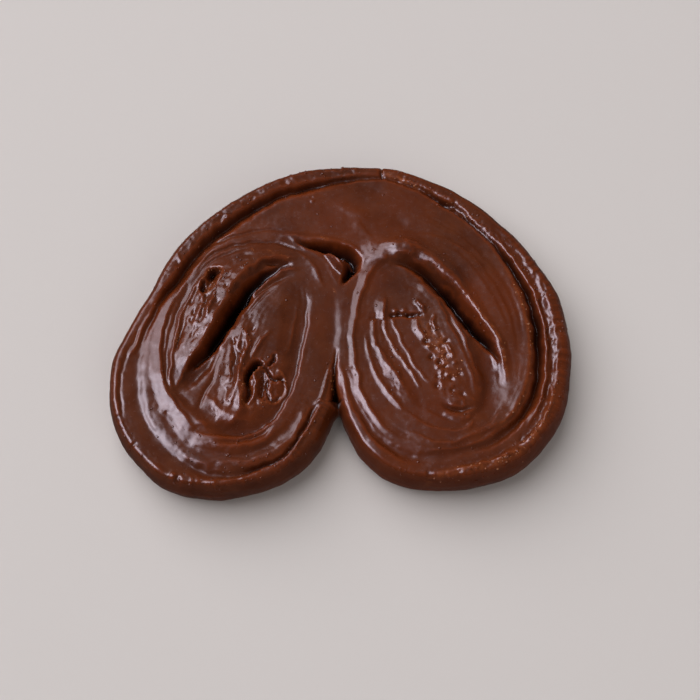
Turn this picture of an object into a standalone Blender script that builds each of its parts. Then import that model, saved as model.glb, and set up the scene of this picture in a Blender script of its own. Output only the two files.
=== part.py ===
"""A chocolate-coated palmier: one flat pastry of two coiled lobes, lying on its base.

The outline is a filled curve with rounded edges. Its mesh is then worked like soft dough: each
groove, fold and swirl is a stroke along a smooth path that lowers or raises the top face.

Units are metres in the scene and millimetres in the tables below. +X runs from the left lobe to
the right one, +Y from the notch to the closed band, and +Z up. The origin is the bottom centre.
"""

import bpy
import numpy as np

MM = 0.001

# Driving sizes, in millimetres.
THICKNESS = 13.0
EDGE_RADIUS = 4.6
BASE_SETTLE = 0.5
VOXEL = 1.45
TRIANGLES = 9400
CURVE_STEPS = 10
TOP_FADE = (6.5, 10.5)
SOFTEN_FACTOR = 0.5
SOFTEN_ROUNDS = 3

CHOCOLATE = (0.080, 0.026, 0.014, 1.0)
CHOCOLATE_ROUGHNESS = 0.32

# The outline's points, clockwise from the middle of the band, as (x, y).
OUTLINE = (
    (0.0, 45.5), (14.0, 44.9), (26.5, 40.2), (35.5, 34.5), (44.5, 26.0), (52.6, 15.0),
    (56.9, 6.0), (58.7, -6.5), (57.7, -16.5), (54.6, -26.7), (47.0, -36.0), (38.5, -40.8),
    (28.3, -42.7), (18.2, -42.3), (10.1, -39.2), (4.0, -33.6), (1.1, -27.6), (-0.8, -23.0),
    (-3.2, -27.8), (-6.2, -33.6), (-12.1, -39.3), (-20.2, -43.2), (-32.4, -45.2),
    (-44.5, -42.3), (-54.2, -33.0), (-58.6, -22.0), (-58.6, -10.0), (-55.0, -0.8),
    (-50.3, 8.2), (-46.0, 17.5), (-39.5, 26.5), (-30.4, 34.4), (-20.2, 40.8), (-10.0, 44.4),
)

# Each stroke is a path of (x, y, half width, height); a negative height is a groove.
RIM_GROOVE = (
    (-6.0, -21.5, 1.0, -1.0), (-9.2, -28.0, 1.2, -1.6), (-12.5, -33.8, 1.3, -1.4),
    (-20.0, -39.6, 1.4, -0.8), (-32.0, -41.2, 1.5, -0.3), (-44.0, -37.4, 1.5, -0.4),
    (-51.0, -30.6, 1.5, -1.0), (-53.6, -22.0, 1.6, -1.5), (-53.6, -11.0, 1.6, -1.6),
    (-50.4, 0.5, 1.5, -1.8), (-46.6, 8.0, 1.5, -2.0), (-42.6, 14.6, 1.5, -2.1),
    (-36.0, 22.8, 1.5, -2.1), (-28.0, 30.0, 1.5, -2.1), (-18.0, 35.6, 1.5, -2.0),
    (-6.0, 39.4, 1.5, -1.9), (9.0, 40.6, 1.4, -1.3), (18.0, 38.6, 1.4, -1.2),
    (28.0, 33.0, 1.4, -1.1), (36.0, 27.0, 1.4, -1.4), (41.4, 21.0, 1.5, -2.0),
    (46.2, 13.2, 1.5, -2.4), (49.0, 4.0, 1.5, -2.5), (49.8, -7.0, 1.5, -2.4),
    (48.4, -19.0, 1.5, -2.1), (44.4, -28.0, 1.5, -1.6), (36.5, -34.6, 1.5, -1.1),
    (27.0, -37.9, 1.5, -0.7), (17.0, -36.6, 1.5, -0.8), (9.0, -31.6, 1.5, -1.1),
    (4.2, -24.5, 1.4, -1.2), (1.6, -17.0, 1.3, -1.2), (0.4, -9.0, 1.3, -0.6),
)
LOBE_CREASE = (
    (0.4, 11.0, 2.0, -0.8), (-0.6, 2.0, 2.2, -1.0), (-1.0, -6.0, 2.4, -1.6),
    (-1.2, -14.0, 2.4, -3.2), (-1.0, -20.0, 2.2, -5.2), (-0.9, -26.0, 2.2, -6.5),
)
CENTRE_PIT = (
    (-12.0, 21.2, 1.4, -1.5), (-5.0, 20.6, 1.8, -3.0), (0.4, 18.6, 2.3, -4.2),
    (2.2, 15.0, 2.0, -3.9), (0.6, 11.0, 1.5, -1.8),
)
LEFT_COIL = (
    (-9.0, 17.2, 2.6, 0.7), (-20.0, 19.4, 2.8, 1.5), (-27.5, 17.8, 2.9, 1.6),
    (-33.0, 13.4, 3.0, 1.5), (-37.6, 6.0, 3.0, 1.4), (-41.0, -3.0, 2.8, 1.2),
    (-42.8, -12.0, 2.6, 0.9), (-41.6, -19.0, 2.4, 0.4),
)
LEFT_COIL_FOOT = (
    (-14.0, 24.2, 2.0, -0.6), (-24.0, 23.6, 2.0, -0.8), (-33.0, 19.0, 2.0, -0.9),
    (-40.0, 10.0, 2.0, -0.9), (-44.0, 0.0, 2.0, -0.8), (-46.0, -12.0, 2.0, -0.5),
)
LEFT_SLOT = (
    (-10.5, 15.4, 1.4, -0.8), (-15.5, 15.8, 1.7, -2.8), (-20.5, 13.6, 2.0, -4.0),
    (-25.0, 8.8, 2.1, -4.3), (-28.2, 2.6, 2.1, -4.2), (-31.6, -4.4, 2.1, -3.8),
    (-35.6, -10.0, 2.0, -2.8), (-38.4, -15.0, 1.7, -1.0),
)
LEFT_CORE = (
    (-17.5, 9.0, 3.4, 0.8), (-20.5, 1.0, 4.4, 1.2), (-22.5, -8.0, 4.8, 1.3),
    (-25.5, -17.0, 5.0, 1.2), (-28.0, -25.0, 4.4, 0.6),
)
LEFT_CORE_EDGE = (
    (-12.4, 9.0, 1.4, -1.0), (-12.8, 0.0, 1.4, -1.5), (-13.4, -9.0, 1.4, -1.5),
    (-14.0, -18.0, 1.5, -1.6), (-16.6, -26.0, 1.7, -1.8), (-22.0, -30.4, 1.8, -1.8),
    (-29.0, -31.6, 1.8, -1.6), (-36.0, -29.0, 1.7, -1.0),
)
LEFT_INNER_FOLD = (
    (-8.6, 8.0, 1.3, 0.5), (-8.4, -3.0, 1.3, 0.8), (-9.8, -12.0, 1.3, 0.8),
    (-12.4, -22.0, 1.5, 0.8), (-17.5, -29.0, 1.8, 0.7),
)
LEFT_BROKEN_POCKET = (
    (-19.6, -11.6, 1.5, -2.6), (-22.6, -15.0, 2.0, -3.4), (-21.0, -19.6, 2.2, -2.8),
    (-17.4, -19.4, 2.0, -2.6),
)
LEFT_SHELL_HOLE = (
    (-32.4, 14.4, 1.2, -2.8), (-34.2, 10.6, 1.3, -2.6), (-35.8, 7.0, 1.0, -1.4),
)
RIGHT_COIL = (
    (5.0, 19.4, 2.6, 0.6), (12.0, 21.6, 2.8, 1.2), (19.5, 19.6, 2.8, 1.4),
    (27.0, 13.4, 2.8, 1.4), (33.0, 5.8, 2.8, 1.3), (38.4, -1.6, 2.6, 1.1),
    (41.6, -10.0, 2.2, 0.7),
)
RIGHT_SLOT = (
    (10.5, 18.2, 1.4, -0.8), (16.0, 17.6, 1.6, -2.4), (21.4, 14.8, 1.9, -3.8),
    (26.4, 10.2, 2.0, -4.2), (30.6, 4.6, 2.0, -4.2), (34.4, -0.8, 1.9, -3.8),
    (37.8, -5.4, 1.7, -3.0), (40.2, -11.4, 1.5, -1.4),
)
RIGHT_CORE = (
    (17.0, 6.5, 3.6, 0.7), (20.5, -1.0, 4.4, 1.1), (24.5, -9.5, 4.6, 1.2),
    (28.5, -18.5, 4.4, 1.0),
)
RIGHT_CORE_EDGE = (
    (22.6, 9.0, 1.3, -0.6), (26.4, 2.8, 1.4, -1.4), (29.6, -4.2, 1.5, -1.6),
    (32.4, -12.0, 1.6, -1.6), (35.2, -20.0, 1.7, -1.4), (32.0, -27.0, 1.8, -1.0),
    (24.0, -27.4, 1.8, -1.0), (17.5, -23.6, 1.6, -0.9),
)
RIGHT_FOLD_1 = (
    (7.0, 16.0, 1.5, 0.6), (3.0, 8.0, 1.4, 0.8), (1.9, -2.0, 1.3, 0.9),
    (2.2, -11.0, 1.3, 0.9), (4.8, -21.5, 1.4, 1.0), (9.6, -29.2, 1.6, 0.9),
    (16.0, -33.6, 1.8, 0.5),
)
RIGHT_FOLD_2 = (
    (6.4, 4.0, 1.2, 0.4), (5.8, -5.0, 1.2, 0.7), (7.6, -13.0, 1.2, 0.8),
    (11.6, -20.4, 1.3, 0.8), (17.0, -26.2, 1.5, 0.6),
)
RIGHT_FOLD_3 = (
    (9.8, 6.0, 1.1, 0.5), (9.4, -3.0, 1.2, 0.7), (11.6, -11.0, 1.2, 0.8),
    (15.6, -18.8, 1.3, 0.7), (20.0, -23.4, 1.4, 0.4),
)
RIGHT_FOLD_4 = (
    (12.8, 4.4, 1.0, 0.5), (13.4, -3.6, 1.1, 0.6), (16.8, -11.0, 1.1, 0.6),
    (21.0, -17.0, 1.2, 0.4),
)
STROKES = (
    RIM_GROOVE, LOBE_CREASE, CENTRE_PIT, LEFT_COIL, LEFT_COIL_FOOT, LEFT_SLOT, LEFT_CORE,
    LEFT_CORE_EDGE, LEFT_INNER_FOLD, LEFT_BROKEN_POCKET, LEFT_SHELL_HOLE, RIGHT_COIL,
    RIGHT_SLOT, RIGHT_CORE, RIGHT_CORE_EDGE, RIGHT_FOLD_1, RIGHT_FOLD_2, RIGHT_FOLD_3,
    RIGHT_FOLD_4,
)


def clear_scene():
    for obj in list(bpy.data.objects):
        bpy.data.objects.remove(obj, do_unlink=True)


def make_collection(name):
    collection = bpy.data.collections.new(name)
    bpy.context.scene.collection.children.link(collection)
    return collection


def make_material(name, colour, roughness):
    material = bpy.data.materials.new(name)
    material.use_nodes = True
    shader = material.node_tree.nodes["Principled BSDF"]
    shader.inputs["Base Color"].default_value = colour
    shader.inputs["Roughness"].default_value = roughness
    shader.inputs["Metallic"].default_value = 0.0
    return material


def smooth_path(points, steps):
    """A Catmull-Rom spline through the rows of points, in every column alike."""
    rows = np.array(points, dtype=float)
    padded = np.vstack([2 * rows[0] - rows[1], rows, 2 * rows[-1] - rows[-2]])
    t = np.linspace(0.0, 1.0, steps, endpoint=False)[:, None]
    spans = []
    for i in range(1, len(rows)):
        a, b, c, d = padded[i - 1:i + 3]
        bend = t * (2 * a - 5 * b + 4 * c - d + t * (3 * b - a - 3 * c + d))
        spans.append(b + 0.5 * t * (c - a + bend))
    return np.vstack(spans + [rows[-1:]])


def stroke_height(xy, path):
    """How far one stroke lifts each point: a soft round profile about the nearest bit of path."""
    starts = path[:-1]
    runs = np.diff(path, axis=0)
    lengths = np.maximum((runs[:, :2] ** 2).sum(axis=1), 1e-9)
    best = np.full(len(xy), np.inf)
    lift = np.zeros(len(xy))
    for start, run, length in zip(starts, runs, lengths):
        t = np.clip((xy - start[:2]) @ run[:2] / length, 0.0, 1.0)
        near = start + t[:, None] * run
        distance = np.hypot(*(xy - near[:, :2]).T)
        closer = distance < best
        best[closer] = distance[closer]
        reach = distance[closer] / near[closer, 2]
        lift[closer] = near[closer, 3] * np.exp(-reach ** 2)
    return lift


def smoothstep(value, low, high):
    t = np.clip((value - low) / (high - low), 0.0, 1.0)
    return t * t * (3.0 - 2.0 * t)


def mesh_object(name, mesh, collection):
    obj = bpy.data.objects.new(name, mesh)
    collection.objects.link(obj)
    return obj


def evaluated_mesh(obj):
    bpy.context.view_layer.update()
    graph = bpy.context.evaluated_depsgraph_get()
    return bpy.data.meshes.new_from_object(obj.evaluated_get(graph))


def replace_mesh(obj):
    """Takes the mesh that the object's modifiers give, and drops the modifiers."""
    mesh = evaluated_mesh(obj)
    obj.modifiers.clear()
    obj.data = mesh


def dough_blank(collection):
    """The plain pastry blank: the filled outline, as thick as the pastry, with round edges."""
    curve = bpy.data.curves.new("palmier_outline", "CURVE")
    curve.dimensions = "2D"
    curve.fill_mode = "BOTH"
    curve.resolution_u = CURVE_STEPS
    curve.extrude = (THICKNESS / 2 - EDGE_RADIUS) * MM
    curve.bevel_depth = EDGE_RADIUS * MM
    curve.bevel_resolution = 4
    curve.offset = -EDGE_RADIUS * MM
    spline = curve.splines.new("BEZIER")
    spline.bezier_points.add(len(OUTLINE) - 1)
    for point, (x, y) in zip(spline.bezier_points, OUTLINE):
        point.co = (x * MM, y * MM, 0.0)
        point.handle_left_type = "AUTO"
        point.handle_right_type = "AUTO"
    spline.use_cyclic_u = True
    outline = mesh_object("palmier_outline", curve, collection)
    outline.location.z = THICKNESS / 2 * MM
    mesh = evaluated_mesh(outline)
    mesh.transform(outline.matrix_world)
    bpy.data.objects.remove(outline, do_unlink=True)
    return mesh_object("palmier", mesh, collection)


def even_mesh(obj):
    """Turns the blank's long flat faces into even small ones that the strokes can shape."""
    remesh = obj.modifiers.new("even", "REMESH")
    remesh.mode = "VOXEL"
    remesh.voxel_size = VOXEL * MM
    replace_mesh(obj)


def points_of(mesh):
    flat = np.empty(len(mesh.vertices) * 3, dtype=np.float32)
    mesh.vertices.foreach_get("co", flat)
    return flat.reshape(-1, 3).astype(float) / MM


def put_points(mesh, points):
    mesh.vertices.foreach_set("co", (points * MM).astype(np.float32).ravel())
    mesh.update()


def shape_top(mesh):
    """Presses and lifts the top face along every stroke, and leaves the base as it is."""
    points = points_of(mesh)
    lift = np.zeros(len(points))
    for rows in STROKES:
        lift += stroke_height(points[:, :2], smooth_path(rows, CURVE_STEPS))
    points[:, 2] += lift * smoothstep(points[:, 2], *TOP_FADE)
    put_points(mesh, points)


def thin_out(obj):
    """Rounds the dough's steps as its coat does, and drops the faces that the form doesn't need."""
    obj.data.calc_loop_triangles()
    count = len(obj.data.loop_triangles)
    smooth = obj.modifiers.new("soften", "SMOOTH")
    smooth.factor = SOFTEN_FACTOR
    smooth.iterations = SOFTEN_ROUNDS
    triangulate = obj.modifiers.new("triangles", "TRIANGULATE")
    triangulate.min_vertices = 4
    decimate = obj.modifiers.new("thin_out", "DECIMATE")
    decimate.ratio = min(1.0, TRIANGLES / count)
    replace_mesh(obj)


def settle(mesh):
    """Flattens the base where it lies, and puts the origin at the bottom centre of the box."""
    points = points_of(mesh)
    points[:, 2] = np.maximum(points[:, 2] - BASE_SETTLE, 0.0)
    low, high = points.min(axis=0), points.max(axis=0)
    points[:, :2] -= (low[:2] + high[:2]) / 2
    put_points(mesh, points)


def main():
    clear_scene()
    collection = make_collection("palmier")
    pastry = dough_blank(collection)
    even_mesh(pastry)
    shape_top(pastry.data)
    thin_out(pastry)
    settle(pastry.data)
    pastry.data.shade_smooth()
    chocolate = make_material("chocolate_coat", CHOCOLATE, CHOCOLATE_ROUGHNESS)
    pastry.data.materials.clear()
    pastry.data.materials.append(chocolate)


main()
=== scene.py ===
"""The looks of a chocolate-coated palmier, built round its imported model.

The pastry is one closed mesh: rings run up its side and over its rim, and a fine grid of small
triangles fills the face inside them. Every fold, groove, slot and broken edge of the face is a
stroke along a smooth path, in millimetres. Small blisters and crumbs are scattered by node trees.
"""

import logging
import math
from dataclasses import dataclass, field
from enum import Enum
from typing import Any, Sequence

import bmesh
import bpy
import numpy as np
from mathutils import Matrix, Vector
from mathutils.geometry import delaunay_2d_cdt


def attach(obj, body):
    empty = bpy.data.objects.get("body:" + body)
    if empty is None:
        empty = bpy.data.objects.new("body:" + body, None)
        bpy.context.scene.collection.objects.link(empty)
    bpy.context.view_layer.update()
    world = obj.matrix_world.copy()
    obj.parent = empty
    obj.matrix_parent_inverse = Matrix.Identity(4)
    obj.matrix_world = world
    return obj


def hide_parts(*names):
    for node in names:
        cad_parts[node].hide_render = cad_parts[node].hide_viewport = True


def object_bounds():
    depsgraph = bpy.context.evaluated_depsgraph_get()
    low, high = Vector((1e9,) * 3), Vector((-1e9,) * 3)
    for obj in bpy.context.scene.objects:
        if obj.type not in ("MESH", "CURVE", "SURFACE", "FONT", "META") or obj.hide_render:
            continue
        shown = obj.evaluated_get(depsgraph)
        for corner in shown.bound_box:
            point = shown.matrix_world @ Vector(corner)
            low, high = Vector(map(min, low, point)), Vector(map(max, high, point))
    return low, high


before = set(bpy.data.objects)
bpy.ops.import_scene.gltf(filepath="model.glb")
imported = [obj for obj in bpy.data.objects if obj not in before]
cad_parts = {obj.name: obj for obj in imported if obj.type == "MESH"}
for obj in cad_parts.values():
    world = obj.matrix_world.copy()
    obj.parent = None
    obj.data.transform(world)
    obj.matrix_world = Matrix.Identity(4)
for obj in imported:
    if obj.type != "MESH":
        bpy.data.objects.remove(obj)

CAD_BOX = [list(corner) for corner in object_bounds()]
MM = 0.001
LOG = logging.getLogger("palmier")

Rows = Sequence[tuple[float, ...]]


def srgb(code: str, alpha: float = 1.0) -> tuple[float, float, float, float]:
    """Turns an sRGB hex colour into linear values.

    Args:
        code: six hex digits, such as "5a3526".
        alpha: the fourth value.

    Returns:
        Red, green, blue and alpha, linear.
    """
    parts = [int(code[i:i + 2], 16) / 255.0 for i in (0, 2, 4)]
    linear = [c / 12.92 if c <= 0.04045 else ((c + 0.055) / 1.055) ** 2.4 for c in parts]
    return (linear[0], linear[1], linear[2], alpha)


def add_node(tree: bpy.types.NodeTree, kind: str, inputs: dict | None = None,
             **settings: Any) -> bpy.types.Node:
    """Adds one node with its settings, values and links.

    Args:
        tree: the tree that gets the node.
        kind: the node's type name.
        inputs: input name or number to a value, or to the output socket that feeds it.
        settings: the node's own properties.

    Returns:
        The new node.
    """
    node = tree.nodes.new(kind)
    for key, value in settings.items():
        setattr(node, key, value)
    for key, value in (inputs or {}).items():
        if isinstance(value, bpy.types.NodeSocket):
            tree.links.new(value, node.inputs[key])
        else:
            node.inputs[key].default_value = value
    return node


def smoothstep(value: np.ndarray, low: float, high: float) -> np.ndarray:
    """Rises smoothly from 0 at low to 1 at high."""
    t = np.clip((value - low) / (high - low), 0.0, 1.0)
    return t * t * (3.0 - 2.0 * t)


def spline(rows: Rows, steps: int, closed: bool = False) -> np.ndarray:
    """Draws a smooth curve through rows of numbers, in every column alike.

    Args:
        rows: the points that the curve passes through.
        steps: points in each span.
        closed: whether the curve joins its own start.

    Returns:
        The curve's points, one a row.
    """
    points = np.array(rows, dtype=float)
    if closed:
        padded = np.vstack([points[-1:], points, points[:2]])
        spans = len(points)
    else:
        first, last = 2 * points[0] - points[1], 2 * points[-1] - points[-2]
        padded = np.vstack([first, points, last])
        spans = len(points) - 1
    t = np.linspace(0.0, 1.0, steps, endpoint=False)[:, None]
    parts = []
    for i in range(1, spans + 1):
        a, b, c, d = padded[i - 1:i + 3]
        bend = 2 * a - 5 * b + 4 * c - d + t * (3 * b - a - 3 * c + d)
        parts.append(b + 0.5 * t * (c - a + t * bend))
    if not closed:
        parts.append(points[-1:])
    return np.vstack(parts)


class Noise:
    """Smooth gradient noise in the plane, the same on every run."""

    def __init__(self, seed: int) -> None:
        """Sets up the lattice from a seed."""
        random = np.random.default_rng(seed)
        self.order = np.tile(random.permutation(256), 2)
        angle = random.random(256) * 2 * math.pi
        self.slopes = np.stack([np.cos(angle), np.sin(angle)], axis=1)

    def plain(self, u: np.ndarray, v: np.ndarray) -> np.ndarray:
        """Gives one layer of noise, about -0.7 to 0.7, with one wave to a unit."""
        iu, iv = np.floor(u).astype(int), np.floor(v).astype(int)
        fu, fv = u - iu, v - iv
        su, sv = fu * fu * (3 - 2 * fu), fv * fv * (3 - 2 * fv)
        corners = []
        for du in (0, 1):
            for dv in (0, 1):
                cell = self.order[self.order[(iu + du) & 255] + ((iv + dv) & 255)]
                slope = self.slopes[cell]
                corners.append(slope[:, 0] * (fu - du) + slope[:, 1] * (fv - dv))
        low = corners[0] * (1 - sv) + corners[1] * sv
        high = corners[2] * (1 - sv) + corners[3] * sv
        return low * (1 - su) + high * su

    def layered(self, u: np.ndarray, v: np.ndarray, octaves: int = 3) -> np.ndarray:
        """Adds finer and weaker layers of noise."""
        total = np.zeros(len(u))
        for i in range(octaves):
            scale = 2.03 ** i
            total += self.plain(u * scale + 17.3 * i, v * scale + 9.1 * i) / scale
        return total


class Profile(Enum):
    """How a stroke's height falls away from its path."""

    RAMP = 1.0
    CUSP = 1.25
    SOFT = 2.0
    FIRM = 3.0
    STEEP = 4.0


@dataclass(frozen=True)
class Stroke:
    """One fold, groove or slot, drawn along a smooth path on the face.

    Attributes:
        name: what it is on the pastry.
        rows: (x, y, half width, height) in mm; a negative height presses the dough in.
        profile: how it falls away at its sides.
        lean: how much wider it is to the left of its path than to the right, from -1 to 1.
        wander: how far the path strays from side to side, in mm.
        uneven: how much the height varies along the path, from 0 to 1.
        seed: which wander and unevenness it gets.
    """

    name: str
    rows: Rows
    profile: Profile = Profile.SOFT
    lean: float = 0.0
    wander: float = 0.12
    uneven: float = 0.15
    seed: int = 0

    def reach(self, xy: np.ndarray) -> tuple[np.ndarray, ...]:
        """Finds where each point lies along and beside the path.

        Args:
            xy: points in the plane, in mm.

        Returns:
            Which points are near, and for those the distance to the left (negative to the
            right), the length run along the path, the half width and the height there.
        """
        path = spline(self.rows, 8)
        margin = 3.2 * path[:, 2].max() * (1 + abs(self.lean)) + self.wander
        runs = np.diff(path, axis=0)
        lengths = np.hypot(runs[:, 0], runs[:, 1])
        start_run = np.concatenate([[0.0], np.cumsum(lengths)])
        best = np.full(len(xy), np.inf)
        found = np.zeros((4, len(xy)))
        for first in range(0, len(runs), 8):
            span = path[first:first + 9, :2]
            low, high = span.min(axis=0) - margin, span.max(axis=0) + margin
            box = np.flatnonzero(((xy > low) & (xy < high)).all(axis=1))
            points = xy[box]
            for i in range(first, min(first + 8, len(runs))):
                start, step = path[i], runs[i]
                offset = points - start[:2]
                t = np.clip(offset @ step[:2] / max(lengths[i] ** 2, 1e-9), 0.0, 1.0)
                away = offset - t[:, None] * step[:2]
                gap = np.hypot(away[:, 0], away[:, 1])
                take = np.flatnonzero(gap < best[box])
                gap, away, t = gap[take], away[take], t[take]
                cross = step[0] * away[:, 1] - step[1] * away[:, 0]
                best[box[take]] = gap
                found[:, box[take]] = (
                    np.where(cross >= 0, gap, -gap), start_run[i] + t * lengths[i],
                    start[2] + t * step[2], start[3] + t * step[3])
        near = np.flatnonzero(np.isfinite(best))
        side, run, width, height = found[:, near]
        return near, side, run, width, height

    def lift(self, xy: np.ndarray) -> tuple[np.ndarray, np.ndarray]:
        """Works out how far this stroke lifts the points near it.

        Args:
            xy: points in the plane, in mm.

        Returns:
            The near points' numbers and their lifts in mm.
        """
        near, side, run, width, height = self.reach(xy)
        noise = Noise(100 + self.seed)
        side = side + self.wander * 2 * noise.layered(run / 5.0, np.full(len(run), 0.5), 2)
        height = height * (1 + self.uneven * 2 * noise.plain(run / 6.0, np.full(len(run), 7.5)))
        width = width * np.where(side >= 0, 1 + self.lean, 1 - self.lean)
        # A cusp is sharp only on its wide side, where one layer of dough laps over the next.
        wide = (side >= 0) == (self.lean >= 0)
        power = np.where(wide, self.profile.value, max(self.profile.value, 2.0))
        away = np.abs(side / np.maximum(width, 0.05))
        fall = np.exp(-away ** power)
        if self.profile is Profile.RAMP:
            fall = np.where(wide, np.clip(1 - away / 1.5, 0, 1), fall)
        return near, height * fall


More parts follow.
